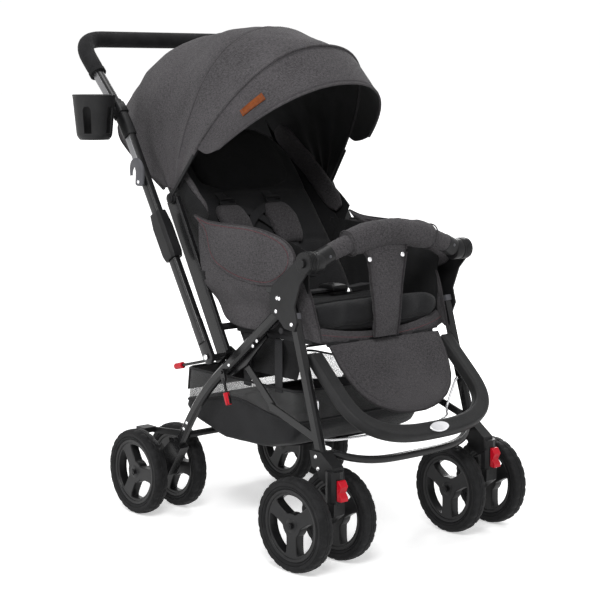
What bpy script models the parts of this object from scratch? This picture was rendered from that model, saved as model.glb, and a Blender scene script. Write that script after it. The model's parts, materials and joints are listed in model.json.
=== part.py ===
"""Reversible stroller on eight wheels, as separate sub-parts.

Metres, +Z up. The child faces -Y, and -X is the child's right, named R.
Side outlines are (y, z) pairs measured from the ground and from the line midway
between the two axles. One empty at the end moves everything so that the origin
lies under the middle of the whole object.
"""
import math

import bmesh
import bpy
from mathutils import Matrix, Vector

# Gaps between pieces
SEAT_GAP = 0.0003
RUN_GAP = 0.0005
PIN_SIDES = 16

# Wheels
WHEEL_RADIUS = 0.0875
TYRE_WIDTH = 0.030
TYRE_DEPTH = 0.021
RIM_WIDTH = 0.022
RIM_WALL = 0.0095
SPOKE_WIDTH = 0.017
HUB_RADIUS = 0.017
HUB_WIDTH = 0.027
AXLE_RADIUS = 0.004
WHEEL_SIDES = 20
AXLE_HEIGHT = WHEEL_RADIUS
FRONT_AXLE_Y = -0.256
REAR_AXLE_Y = 0.256
FRONT_WHEEL_OFFSET = 0.056
REAR_WHEEL_OFFSET = 0.049

# Castors
SWIVEL_X = 0.2005
SWIVEL_TRAIL = 0.044
SWIVEL_Y = FRONT_AXLE_Y - SWIVEL_TRAIL
SWIVEL_DEG = {"R": 3.5, "L": -1.5}
SWIVEL_PIN_RADIUS = 0.006
FORK_TOP = 0.128
FORK_WIDTH = 0.028
HOUSING_RADIUS = 0.016
HOUSING_TOP = 0.215
HOUSING_CHEEK = 0.005
SWIVEL_POST_TOP = 0.186
LOCK_SIZE = (0.018, 0.012, 0.038)
LOCK_LIFT = 0.0055

# Legs, all in the plane LEG_X
LEG_X = 0.196
LEG_WIDTH = 0.015
FRONT_LEG_DEPTH = 0.022
REAR_LEG_DEPTH = 0.020
FRONT_LEG_TOP = (-0.183, 0.457)
FRONT_LEG_FOOT = (-0.267, 0.184)
FRONT_PIVOT_Z = 0.440
REAR_PIVOT = (-0.144, 0.460)
REAR_LEG_BEND = (0.098, 0.270)
REAR_LEG_FOOT = (0.214, 0.100)
LEG_PIN_RADIUS = 0.0035
AXLE_MOUNT_WIDTH = 0.022

# Braces between the legs
BRACE_THICKNESS = 0.004
BRACE_DEPTH = 0.015
BRACE_REAR_END = (-0.016, 0.345)
BRACE_KNEE = (-0.104, 0.271)
BRACE_FRONT_END = (-0.2445, 0.2285)
BRACE_PIN_RADIUS = 0.003

# Side frames, arm plates and bumper
FRAME_WIDTH = 0.013
FRAME_DEPTH = 0.022
UPRIGHT_DEPTH = 0.036
UPRIGHT_BACKSET = 0.007
UPRIGHT_FOOT = (0.022, 0.361)
CANOPY_HINGE = (0.185, 0.650)
ARM_REAR_Z = 0.505
ARM_MIDDLE = (-0.045, 0.508)
ARM_FRONT = (-0.136, 0.498)
ARM_PLATE_THICKNESS = 0.004
KNUCKLE = (-0.224, 0.556)
KNUCKLE_RADIUS = 0.0205
KNUCKLE_WIDTH = 0.021
HUB_END_WIDTH = 0.018
STUB_RADIUS = 0.007
BUTTON_RADIUS = 0.0085
BUTTON_TRAVEL = 0.004
BUMPER_RADIUS = 0.0165
BUMPER_RISE = 0.044
BUMPER_FORWARD = 0.006
WRAP_RADIUS = 0.0265
WRAP_HALF_LENGTH = 0.105

# Seat
SEAT_HALF_WIDTH = 0.163
SEAT_FRONT_Y = -0.196
SEAT_REAR_Y = -0.022
BOARD_UNDERSIDE = 0.398
BOARD_THICKNESS = 0.009
CUSHION_THICKNESS = 0.058
SEAT_ROD_RADIUS = 0.006
SEAT_FRONT_ROD = (-0.158, 0.425)
RECLINE_AXIS = (0.048, 0.406)
RECLINE_ROD_RADIUS = 0.007
WING_THICKNESS = 0.016
WING_CROWN = 0.005
WING_OUTLINE = ((0.128, 0.614), (0.085, 0.606), (-0.046, 0.604), (-0.144, 0.590), (-0.178, 0.570), (-0.184, 0.552),
                (-0.162, 0.520), (-0.136, 0.470), (-0.106, 0.420), (-0.045, 0.411), (0.020, 0.415), (0.052, 0.452),
                (0.086, 0.505), (0.104, 0.560))
LEG_REST_AXIS = (-0.2069, 0.3971)
LEG_REST_BEAD_RADIUS = 0.005
LEG_REST_BEAD_HALF = 0.135
LEG_REST_THICKNESS = 0.012
LEG_REST_DEG = 36.0
LEG_REST_OUTLINE = ((0.0, 0.141), (0.045, 0.138), (0.075, 0.132), (0.100, 0.123), (0.122, 0.109), (0.140, 0.088),
                    (0.154, 0.058), (0.162, 0.026))
CROTCH_RINGS = ((-0.234, 0.572, 0.060), (-0.234, 0.535, 0.054), (-0.240, 0.480, 0.043), (-0.234, 0.440, 0.036),
                (-0.230, 0.404, 0.032))
CROTCH_THICKNESS = 0.008

# Backrest
BACK_DEG = 38.0
BACK_LENGTH = 0.455
BACK_HALF_WIDTH = 0.164
BACK_BOARD_THICKNESS = 0.008
BACK_CUSHION_THICKNESS = 0.036
HEADREST_SWELL = 0.016

# Handle; the grip starts at a share of the straight above the bend
HANDLE_X = 0.235
HANDLE_PIVOT = (0.026, 0.355)
HANDLE_BEND = (0.301, 0.802)
HANDLE_TOP = (0.4695, 0.9675)
HANDLE_CORNER = 0.058
HANDLE_WIDTH = 0.017
HANDLE_DEPTH = 0.024
HANDLE_END_PLATE = 0.008
GRIP_RADIUS = 0.017
GRIP_START_SHARE = 0.586
SLIDER_WALL = 0.007
SLIDER_LOW_Z = 0.535
SLIDER_HIGH_Z = 0.622
PIVOT_PIN_RADIUS = 0.004

# Cup holder and bag hook, on the right tube; shares run up the straight above the bend
CUP_TOP_RADIUS = 0.0430
CUP_BASE_RADIUS = 0.0350
CUP_CLAMP_SHARE = 0.121
CUP_CLAMP_DROP = 0.032
CUP_HEIGHT = 0.086
CUP_WALL = 0.003
CUP_SLOT_WIDTH = 0.016
CUP_CLAMP_WALL = 0.005
HOOK_PIVOT_Z = 0.683
HOOK_THICKNESS = 0.007

# Canopy ribs: degrees forward of upright, radius from the hinge line, power of the arch, half-width
CANOPY_WALL = 0.004
COVER_RIBS = ((-62, 0.352, 0.66, 0.205), (-38, 0.356, 0.72, 0.205), (-10, 0.343, 0.86, 0.203),
              (18, 0.349, 0.86, 0.1985), (33, 0.362, 0.86, 0.1985))
VISOR_RIBS = ((36, 0.3735, 0.86, 0.2070), (53, 0.3780, 0.915, 0.2085))
CANOPY_BOW_DEG = 36.0
CANOPY_BOW_RADIUS = 0.003
CANOPY_EDGE_DEG = 12.0
VISOR_EDGE_DEG = 18.0
CANOPY_HUB_RADIUS = 0.012
CANOPY_HUB_WIDTH = 0.004

# Footrest, stay and front cross tube
FOOTREST_AXIS = (-0.209, 0.379)
FOOTREST_FRONT = (-0.357, 0.243)
FOOTREST_HALF_WIDTH = 0.170
FOOTREST_STRAIGHT = 0.085
FOOTREST_BAND = 0.030
FOOTREST_THICKNESS = 0.024
STAY_RADIUS = 0.0025
CROSS_TUBE_RADIUS = 0.008
CROSS_TUBE_END = (-0.268, 0.2085)
CROSS_TUBE_MIDDLE = (-0.310, 0.1905)

# Basket
BASKET_HALF_WIDTH = 0.165
BASKET_TOP_Z = 0.302
BASKET_FRONT_Y = -0.158
BASKET_REAR_Y = 0.196
BASKET_LOW_EDGE = ((-0.158, 0.222), (-0.120, 0.193), (-0.037, 0.175), (0.078, 0.173), (0.150, 0.191), (0.2185, 0.219))
BASKET_WALL = 0.003
STRAP_SIZE = (0.022, 0.003)

# Brake bar and lever rods
BRAKE_AXIS = (0.160, 0.172)
BRAKE_ROD_RADIUS = 0.007
BRAKE_ARM_WIDTH = 0.005
BRAKE_PEDAL_Y = (0.284, 0.314)
BRAKE_PEDAL_Z = (0.156, 0.167)
RELEASE_AXIS = (0.042, 0.345)
RELEASE_TIP = (0.156, 0.3165)
LATCH_AXIS = (0.022, 0.322)
LATCH_TIP = (0.000, 0.262)
LEVER_RADIUS = 0.003
TIP_RADIUS = 0.007
TIP_LENGTH = 0.024

SIDES = ((-1, "R"), (1, "L"))

# Finish: base colour, roughness, metallic
FINISHES = {
    "frame_paint": ((0.018, 0.018, 0.020), 0.32, 0.85),
    "black_plastic": ((0.020, 0.020, 0.021), 0.48, 0.0),
    "grey_plastic": ((0.160, 0.160, 0.172), 0.45, 0.0),
    "tyre_foam": ((0.016, 0.016, 0.017), 0.85, 0.0),
    "grip_foam": ((0.022, 0.022, 0.023), 0.92, 0.0),
    "red_plastic": ((0.580, 0.006, 0.022), 0.35, 0.0),
    "charcoal_cloth": ((0.070, 0.067, 0.071), 0.92, 0.0),
    "black_cloth": ((0.013, 0.013, 0.014), 0.90, 0.0),
    "steel_wire": ((0.450, 0.450, 0.460), 0.30, 1.0),
    "board_plastic": ((0.030, 0.030, 0.032), 0.60, 0.0),
}

pivots = {}


def clear_scene():
    """Remove whatever the file holds."""
    for obj in list(bpy.data.objects):
        bpy.data.objects.remove(obj, do_unlink=True)


def finish(name):
    """The Principled material of one finish, made once."""
    if name in bpy.data.materials:
        return bpy.data.materials[name]
    colour, roughness, metallic = FINISHES[name]
    material = bpy.data.materials.new(name)
    material.use_nodes = True
    shader = material.node_tree.nodes["Principled BSDF"]
    shader.inputs["Base Color"].default_value = (*colour, 1.0)
    shader.inputs["Roughness"].default_value = roughness
    shader.inputs["Metallic"].default_value = metallic
    material.diffuse_color = (*colour, 1.0)
    return material


def pivot(name, at, parent=None, turn_deg=0.0):
    """An empty at a point of the stroller, which carries the pieces that move there."""
    empty = bpy.data.objects.new(name, None)
    bpy.context.collection.objects.link(empty)
    empty.empty_display_size = 0.03
    place = Vector(at)
    if parent:
        empty.parent = pivots[parent][0]
        empty.location = place - pivots[parent][1]
    else:
        empty.location = place
    empty.rotation_euler.z = math.radians(turn_deg)
    pivots[name] = (empty, place)
    return name


def add(name, shape, finish_name, carried_by):
    """Turn a bmesh in stroller coordinates into a named object on its pivot."""
    empty, place = pivots[carried_by]
    bmesh.ops.translate(shape, verts=shape.verts, vec=-place)
    bmesh.ops.recalc_face_normals(shape, faces=shape.faces)
    mesh = bpy.data.meshes.new(name)
    shape.to_mesh(mesh)
    shape.free()
    mesh.materials.append(finish(finish_name))
    mesh.shade_smooth()
    mesh.set_sharp_from_angle(angle=math.radians(38))
    obj = bpy.data.objects.new(name, mesh)
    bpy.context.collection.objects.link(obj)
    obj.parent = empty
    return obj


def combine(base, operation, tools):
    """Boolean of bmeshes: the tools are used up and a new bmesh comes back."""
    guides = []
    for shape in (base, *tools):
        bmesh.ops.recalc_face_normals(shape, faces=shape.faces)
        mesh = bpy.data.meshes.new("guide")
        shape.to_mesh(mesh)
        shape.free()
        guide = bpy.data.objects.new("guide", mesh)
        bpy.context.collection.objects.link(guide)
        guide.hide_render = True
        guide.display_type = "WIRE"
        guides.append(guide)
    for guide in guides[1:]:
        modifier = guides[0].modifiers.new("boolean", "BOOLEAN")
        modifier.operation = operation
        modifier.object = guide
        modifier.solver = "EXACT"
    evaluated = guides[0].evaluated_get(bpy.context.evaluated_depsgraph_get())
    result = bmesh.new()
    result.from_mesh(evaluated.to_mesh())
    evaluated.to_mesh_clear()
    for guide in guides:
        mesh = guide.data
        bpy.data.objects.remove(guide, do_unlink=True)
        bpy.data.meshes.remove(mesh)
    return result


def union(base, *tools):
    return combine(base, "UNION", tools)


def cut(base, *tools):
    return combine(base, "DIFFERENCE", tools)


def loft(rings, closed=False):
    """Bmesh through rings of points; a ring of one point closes an end."""
    shape = bmesh.new()
    levels = [[shape.verts.new(point) for point in ring] for ring in rings]
    pairs = list(zip(levels, levels[1:]))
    if closed:
        pairs.append((levels[-1], levels[0]))
    for low, high in pairs:
        count = max(len(low), len(high))
        for i in range(count):
            j = (i + 1) % count
            corners = [low[i % len(low)], low[j % len(low)], high[j % len(high)], high[i % len(high)]]
            face = list(dict.fromkeys(corners))
            shape.faces.new(face)
    if not closed:
        for ring in (levels[0], levels[-1]):
            if len(ring) > 2:
                shape.faces.new(ring)
    bmesh.ops.recalc_face_normals(shape, faces=shape.faces)
    return shape


def chamfered(half_a, half_b, chamfer):
    """Eight corners of a flat tube's section."""
    a, b, c = half_a, half_b, chamfer
    return [(a, b - c), (a - c, b), (c - a, b), (-a, b - c), (-a, c - b), (c - a, -b), (a - c, -b), (a, c - b)]


def circle(radius, sides=8):
    """A round section."""
    turns = [math.tau * i / sides for i in range(sides)]
    return [(radius * math.cos(turn), radius * math.sin(turn)) for turn in turns]


def swept(points, section, reference=(1, 0, 0)):
    """A section carried along a path with mitred bends; its first axis stays near the reference."""
    path = [Vector(point) for point in points]
    rings = []
    for i, point in enumerate(path):
        inward = (path[max(i, 1)] - path[max(i, 1) - 1]).normalized()
        outward = (path[min(i + 1, len(path) - 1)] - path[min(i, len(path) - 2)]).normalized()
        first = Vector(reference)
        first = (first - first.dot(inward) * inward).normalized()
        second = inward.cross(first)
        plane = (inward + outward).normalized()
        ring = []
        for a, b in section:
            offset = first * a + second * b
            ring.append(point + offset - inward * (offset.dot(plane) / inward.dot(plane)))
        rings.append(ring)
    return loft(rings)


def rounded(points, tangent, steps=4):
    """A path whose inner corners are curves that leave the straights at the tangent length."""
    path = [Vector(point) for point in points]
    result = [path[0]]
    for before, corner, after in zip(path, path[1:], path[2:]):
        start = corner + (before - corner).normalized() * tangent
        end = corner + (after - corner).normalized() * tangent
        for step in range(steps + 1):
            t = step / steps
            result.append(start * (1 - t) ** 2 + corner * 2 * t * (1 - t) + end * t ** 2)
    result.append(path[-1])
    return result


def side_path(outline, x):
    return [Vector((x, y, z)) for y, z in outline]


def prism(outline, x_from, x_to):
    """A side outline made solid between two distances from the middle plane."""
    return loft([side_path(outline, x_from), side_path(outline, x_to)])


def rod(start, end, radius, sides=8):
    return swept([start, end], circle(radius, sides), (0.31, 0.17, 0.93))


def cross_rod(x_from, x_to, at, radius, sides=8):
    """A rod along X at a side point; PIN_SIDES keeps a thick pin clear of its bore at any angle."""
    return swept([(x_from, *at), (x_to, *at)], circle(radius, sides), (0, 0, 1))


def block(low, high):
    shape = bmesh.new()
    bmesh.ops.create_cube(shape, size=1.0)
    low, high = Vector(low), Vector(high)
    size = high - low
    bmesh.ops.transform(shape, matrix=Matrix.Translation((low + high) / 2) @ Matrix.Diagonal((*size, 1.0)),
                        verts=shape.verts)
    return shape


def turned(profile, centre, sides=WHEEL_SIDES, closed=True):
    """A (radius, x) profile turned about an axis along X."""
    centre = Vector(centre)
    rings = []
    for radius, x in profile:
        ring = []
        for i in range(sides):
            turn = math.tau * i / sides
            ring.append(centre + Vector((x, radius * math.cos(turn), radius * math.sin(turn))))
        rings.append(ring)
    return loft(rings, closed)


def towards(start, end, distance):
    """A side point at a distance from start on the way to end."""
    start, end = Vector(start), Vector(end)
    point = start + (end - start).normalized() * distance
    return (point.x, point.y)


def on_line(start, end, z):
    """The side point at height z on a line."""
    t = (z - start[1]) / (end[1] - start[1])
    return (start[0] + (end[0] - start[0]) * t, z)


def round_ended(start, end, half_depth, steps=4):
    """Side outline of a flat link with round ends."""
    start, end = Vector(start), Vector(end)
    along = (end - start).normalized()
    across = Vector((-along.y, along.x))
    outline = []
    for centre, sign in ((end, 1), (start, -1)):
        for step in range(steps + 1):
            turn = math.pi * (step / steps - 0.5)
            outline.append(centre + along * math.cos(turn) * half_depth * sign
                           + across * math.sin(turn) * half_depth * sign)
    return [tuple(point) for point in outline]


def mirror_sides(build):
    """Call a builder once for each side."""
    for sign, letter in SIDES:
        build(sign, letter)


FRONT_PIVOT = on_line(FRONT_LEG_TOP, FRONT_LEG_FOOT, FRONT_PIVOT_Z)
LEG_INNER = LEG_X - LEG_WIDTH / 2
LEG_OUTER = LEG_X + LEG_WIDTH / 2
FRAME_INNER = LEG_X - FRAME_WIDTH / 2
FRAME_OUTER = LEG_X + FRAME_WIDTH / 2
PLATE_INNER = LEG_OUTER + SEAT_GAP
PLATE_OUTER = PLATE_INNER + ARM_PLATE_THICKNESS
KNUCKLE_INNER = PLATE_OUTER + 0.003 - KNUCKLE_WIDTH
RIM_RADIUS = WHEEL_RADIUS - TYRE_DEPTH
HUB_FACE = HUB_WIDTH / 2
BRACE_OUTER = LEG_INNER - RUN_GAP
BRACE_MIDDLE = BRACE_OUTER - BRACE_THICKNESS - SEAT_GAP
UPRIGHT_TOP = CANOPY_HINGE
UPPER_TUBE_RISE = HANDLE_TOP[1] - HANDLE_BEND[1]
GRIP_START_Z = HANDLE_BEND[1] + GRIP_START_SHARE * UPPER_TUBE_RISE
CUP_CLAMP_Z = HANDLE_BEND[1] + CUP_CLAMP_SHARE * UPPER_TUBE_RISE
CUP_TOP_Z = CUP_CLAMP_Z + CUP_CLAMP_DROP


def front_leg_path(x):
    return side_path((FRONT_LEG_TOP, FRONT_LEG_FOOT), x)


def front_leg_section(gap=0.0):
    return chamfered(LEG_WIDTH / 2 + gap, FRONT_LEG_DEPTH / 2 + gap, 0.004)


def wheel(name, centre, parent):
    """One tyre on its three-spoke rim, spinning on the axle."""
    carried = pivot(name, centre, parent)
    half = TYRE_WIDTH / 2
    seat = RIM_RADIUS + SEAT_GAP
    tyre = [(seat, -0.75 * half), (seat, 0.75 * half), (WHEEL_RADIUS - 0.006, half), (WHEEL_RADIUS, 0.72 * half)]
    tyre += [(radius, -x) for radius, x in reversed(tyre[2:])]
    add(name.replace("wheel", "tyre"), turned(tyre, centre), "tyre_foam", carried)

    rim = turned([(RIM_RADIUS, -RIM_WIDTH / 2), (RIM_RADIUS, RIM_WIDTH / 2)], centre, closed=False)
    hub = turned([(HUB_RADIUS, -HUB_FACE), (HUB_RADIUS, HUB_FACE)], centre, 12, closed=False)
    bore = turned([(AXLE_RADIUS + RUN_GAP, -HUB_WIDTH), (AXLE_RADIUS + RUN_GAP, HUB_WIDTH)], centre, 8, False)
    windows = []
    outer = RIM_RADIUS - RIM_WALL
    inner = HUB_RADIUS + 0.006
    for spoke in range(3):
        middle = math.radians(90 + 120 * spoke)
        outline = []
        for radius, steps in ((outer, (-1, -0.4, 0.4, 1)), (inner, (1, -1))):
            reach = math.radians(60) - math.asin(SPOKE_WIDTH / 2 / radius)
            for step in steps:
                turn = middle + reach * step
                outline.append((centre[1] + radius * math.cos(turn), centre[2] + radius * math.sin(turn)))
        windows.append(prism(outline, centre[0] - RIM_WIDTH, centre[0] + RIM_WIDTH))
    rim = cut(union(rim, hub), bore, *windows)
    add(name.replace("wheel", "rim"), rim, "black_plastic", carried)


def axle_with_spacers(x_middle, y, offset, web_half):
    """Axle shaft with a spacer each side of its mount and an end cap outside each wheel."""
    at = (y, AXLE_HEIGHT)
    reach = offset + HUB_FACE
    shaft = cross_rod(x_middle - reach - 0.004, x_middle + reach + 0.004, at, AXLE_RADIUS)
    extras = []
    for sign in (-1, 1):
        near = x_middle + sign * (web_half - 0.001)
        far = x_middle + sign * (offset - HUB_FACE - SEAT_GAP)
        extras.append(cross_rod(near, far, at, AXLE_RADIUS + 0.003))
        cap = x_middle + sign * (reach + SEAT_GAP)
        extras.append(cross_rod(cap, cap + sign * 0.003, at, AXLE_RADIUS + 0.003))
    return shaft, extras


def castor(sign, letter):
    """Fork with its axle and two wheels, turned a little as it stands."""
    x = sign * SWIVEL_X
    name = pivot("castor_" + letter, (x, SWIVEL_Y, AXLE_HEIGHT), "front_legs", SWIVEL_DEG[letter])
    half = FORK_WIDTH / 2
    y, z = SWIVEL_Y, AXLE_HEIGHT
    top = FORK_TOP
    web = [(y - 0.0135, top), (y + 0.0135, top), (y + 0.040, top - 0.008), (y + 0.062, z + 0.006),
           (y + 0.056, z - 0.015), (y + 0.036, z - 0.018), (y + 0.016, z - 0.006), (y - 0.0135, z + 0.018)]
    fork = prism(web, x - half, x + half)
    pin = rod((x, y, top - 0.004), (x, y, top + 0.045), SWIVEL_PIN_RADIUS)
    shaft, extras = axle_with_spacers(x, FRONT_AXLE_Y, FRONT_WHEEL_OFFSET, half)
    collar = rod((x, y, top - 0.010), (x, y, top), 0.0150)
    add("castor_fork_" + letter, union(fork, pin, collar, shaft, *extras), "black_plastic", name)
    for side, place in ((-1, "right"), (1, "left")):
        centre = (x + side * FRONT_WHEEL_OFFSET, FRONT_AXLE_Y, AXLE_HEIGHT)
        wheel("wheel_front_" + letter + "_" + place, centre, name)


def front_leg(sign, letter):
    """Leg tube, the moulded castor housing on its foot, and the red swivel lock."""
    x = sign * LEG_X
    leg = swept(front_leg_path(x), front_leg_section())
    bore = cross_rod(x - LEG_WIDTH, x + LEG_WIDTH, FRONT_PIVOT, LEG_PIN_RADIUS + SEAT_GAP)
    brace_bore = cross_rod(sign * 0.18, sign * (LEG_INNER + 0.005), BRACE_FRONT_END, BRACE_PIN_RADIUS + SEAT_GAP)
    add("front_leg_" + letter, cut(leg, bore, brace_bore), "frame_paint", "front_legs")

    swivel = sign * SWIVEL_X
    y = SWIVEL_Y
    post = rod((swivel, y, FORK_TOP + SEAT_GAP), (swivel, y, SWIVEL_POST_TOP), HOUSING_RADIUS, 12)
    low = 0.180
    foot = on_line(FRONT_LEG_TOP, FRONT_LEG_FOOT, HOUSING_TOP)
    outline = [(y - 0.010, low - 0.012), (y + 0.006, low - 0.024), (y + 0.033, low - 0.013),
               (y + 0.037, low - 0.002), (FRONT_LEG_FOOT[0] + 0.020, low + 0.006), (foot[0] + 0.017, HOUSING_TOP),
               (foot[0] - 0.015, HOUSING_TOP), (y - 0.006, low + 0.012)]
    cheek = LEG_WIDTH / 2 + HOUSING_CHEEK
    cheeks = prism(outline, x - cheek, x + cheek)
    socket = swept(side_path((FRONT_LEG_TOP, towards(FRONT_LEG_FOOT, FRONT_LEG_TOP, -SEAT_GAP)), x),
                   front_leg_section(SEAT_GAP))
    pin_bore = rod((swivel, y, FORK_TOP - 0.01), (swivel, y, FORK_TOP + 0.047), SWIVEL_PIN_RADIUS + RUN_GAP)
    housing = cut(union(post, cheeks), socket, pin_bore)
    add("castor_housing_" + letter, housing, "black_plastic", "front_legs")

    width, depth, height = LOCK_SIZE
    face = y - HOUSING_RADIUS - RUN_GAP
    low = FORK_TOP + LOCK_LIFT
    name = pivot("swivel_lock_" + letter + "_slide", (swivel, face, low), "front_legs")
    lock = prism([(face, low), (face, low + height), (face - 0.4 * depth, low + height),
                  (face - depth, low + 0.72 * height), (face - 0.5 * depth, low + 0.4 * height),
                  (face - depth, low + 0.2 * height), (face - depth, low)], swivel - width / 2, swivel + width / 2)
    add("swivel_lock_" + letter, lock, "red_plastic", name)


def rear_leg(sign, letter):
    """Bowed leg tube with its riveted inner bracket and moulded axle mount."""
    x = sign * LEG_X
    top = towards(REAR_PIVOT, REAR_LEG_BEND, -0.012)
    path = rounded(side_path((top, REAR_LEG_BEND, REAR_LEG_FOOT), x), 0.075, 5)
    leg = swept(path, chamfered(LEG_WIDTH / 2, REAR_LEG_DEPTH / 2, 0.004))
    y, z = REAR_AXLE_Y, AXLE_HEIGHT
    foot = REAR_LEG_FOOT
    mount = prism([(foot[0] - 0.052, foot[1] + 0.045), (foot[0] - 0.026, foot[1] + 0.063),
                   (y - 0.008, z + 0.026), (y + 0.012, z + 0.018), (y + 0.018, z), (y + 0.010, z - 0.016),
                   (y - 0.010, z - 0.018), (foot[0] - 0.008, foot[1] - 0.018)],
                  x - AXLE_MOUNT_WIDTH / 2, x + AXLE_MOUNT_WIDTH / 2)
    inner = sign * (LEG_INNER + 0.0005)
    bracket = prism([(-0.094, 0.402), (-0.084, 0.416), (0.004, 0.364), (0.022, 0.372), (0.034, 0.362),
                     (0.030, 0.318), (0.018, 0.312), (-0.030, 0.340)], inner, inner - sign * 0.0045)
    shaft, extras = axle_with_spacers(x, REAR_AXLE_Y, REAR_WHEEL_OFFSET, AXLE_MOUNT_WIDTH / 2)
    parts = [mount, bracket, shaft, *extras]
    if letter == "R":
        parts.append(cross_rod(x, sign * (LEG_OUTER + 0.007), LATCH_AXIS, LEVER_RADIUS))
    leg = union(leg, *parts)
    pin = cross_rod(x - LEG_WIDTH, x + LEG_WIDTH, REAR_PIVOT, LEG_PIN_RADIUS + SEAT_GAP)
    add("rear_leg_" + letter, cut(leg, pin), "frame_paint", "rear_legs")
    for side, place in ((-1, "right"), (1, "left")):
        centre = (x + side * REAR_WHEEL_OFFSET, REAR_AXLE_Y, AXLE_HEIGHT)
        wheel("wheel_rear_" + letter + "_" + place, centre, "rear_legs")


def braces(sign, letter):
    """Two flat links with a knee, from the rear leg's bracket to the front leg."""
    half = BRACE_DEPTH / 2
    front = pivot("brace_front_" + letter + "_turn", (sign * BRACE_OUTER, *BRACE_FRONT_END), "front_legs")
    outer = sign * BRACE_OUTER
    middle = sign * BRACE_MIDDLE
    link = prism(round_ended(BRACE_KNEE, BRACE_FRONT_END, half), outer, outer - sign * BRACE_THICKNESS)
    pin = cross_rod(outer - sign * 0.001, sign * (LEG_INNER + 0.003), BRACE_FRONT_END, BRACE_PIN_RADIUS)
    add("brace_front_" + letter, union(link, pin), "frame_paint", front)
    rear = pivot("brace_rear_" + letter + "_turn", (middle, *BRACE_REAR_END), "rear_legs")
    link = prism(round_ended(BRACE_KNEE, BRACE_REAR_END, half), middle, middle - sign * BRACE_THICKNESS)
    head = cross_rod(middle - sign * 0.002, middle - sign * (BRACE_THICKNESS + 0.002), BRACE_KNEE, BRACE_PIN_RADIUS)
    add("brace_rear_" + letter, union(link, head), "frame_paint", rear)


def side_frame(sign, letter):
    """Upright, armrest tube, release-rod ear and handle pivot pin of one side."""
    x = sign * LEG_X
    section = chamfered(FRAME_WIDTH / 2, FRAME_DEPTH / 2, 0.003)
    along = (Vector(UPRIGHT_TOP) - Vector(UPRIGHT_FOOT)).normalized()
    backset = Vector((0, along.y, -along.x)) * UPRIGHT_BACKSET
    path = [point + backset for point in side_path((UPRIGHT_FOOT, UPRIGHT_TOP), x)]
    upright = swept(path, chamfered(FRAME_WIDTH / 2, UPRIGHT_DEPTH / 2, 0.003))
    joint = on_line(UPRIGHT_FOOT, UPRIGHT_TOP, ARM_REAR_Z)
    arm = swept(side_path((ARM_FRONT, ARM_MIDDLE, joint), x), section)
    ear = prism(round_ended(UPRIGHT_FOOT, RELEASE_AXIS, 0.008), sign * FRAME_INNER, sign * FRAME_OUTER)
    reach = HANDLE_X + HANDLE_END_PLATE / 2 + 0.004
    pin = cross_rod(x, sign * reach, HANDLE_PIVOT, PIVOT_PIN_RADIUS, PIN_SIDES)
    bore = cross_rod(x - 0.02, x + 0.02, RELEASE_AXIS, LEVER_RADIUS + SEAT_GAP)
    frame = cut(union(upright, arm, ear, pin), bore)
    add("side_frame_" + letter, frame, "frame_paint", "seat_frame")


def arm_plate(sign, letter):
    """Pressed plate that carries both legs' pins and the bumper knuckle."""
    ky, kz = KNUCKLE
    outline = [(ky - 0.017, kz - 0.008), (ky + 0.006, kz + 0.018), (ky + 0.030, kz - 0.002),
               (-0.132, 0.508), (-0.124, 0.486), (-0.130, 0.454), (-0.150, 0.446), (-0.168, 0.430),
               (-0.196, 0.427), (-0.204, 0.446), (-0.196, 0.474), (-0.212, 0.516)]
    plate = prism(outline, sign * PLATE_INNER, sign * PLATE_OUTER)
    inner = sign * KNUCKLE_INNER
    knuckle = cross_rod(inner, inner + sign * KNUCKLE_WIDTH, KNUCKLE, KNUCKLE_RADIUS, 16)
    shaft = PLATE_OUTER - 0.002
    pins = [cross_rod(sign * shaft, sign * LEG_INNER, at, LEG_PIN_RADIUS) for at in (FRONT_PIVOT, REAR_PIVOT)]
    socket = cross_rod(inner + sign * (KNUCKLE_WIDTH - 0.008), inner + sign * (KNUCKLE_WIDTH + 0.01), KNUCKLE,
                       BUTTON_RADIUS + RUN_GAP, 12)
    stub_end = inner - sign * (HUB_END_WIDTH - 0.006)
    axle = cross_rod(inner + sign * 0.004, stub_end, KNUCKLE, STUB_RADIUS, PIN_SIDES)
    seat_rod_bore = cross_rod(sign * LEG_INNER, sign * 0.25, SEAT_FRONT_ROD, SEAT_ROD_RADIUS + SEAT_GAP)
    plate = cut(union(plate, knuckle, axle, *pins), socket, seat_rod_bore)
    add("arm_plate_" + letter, plate, "black_plastic", "seat_frame")

    face = inner + sign * (KNUCKLE_WIDTH - 0.008)
    name = pivot("bumper_button_" + letter + "_slide", (face, *KNUCKLE), "seat_frame")
    start = face + sign * (BUTTON_TRAVEL + SEAT_GAP)
    button = cross_rod(start, start + sign * 0.009, KNUCKLE, BUTTON_RADIUS, 12)
    add("bumper_button_" + letter, button, "grey_plastic", name)


def bumper_point(x):
    """Middle line of the arched bumper bar."""
    reach = KNUCKLE_INNER - HUB_END_WIDTH / 2
    share = 1 - (x / reach) ** 2
    return Vector((x, KNUCKLE[0] - BUMPER_FORWARD * share, KNUCKLE[1] + BUMPER_RISE * share))


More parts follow.
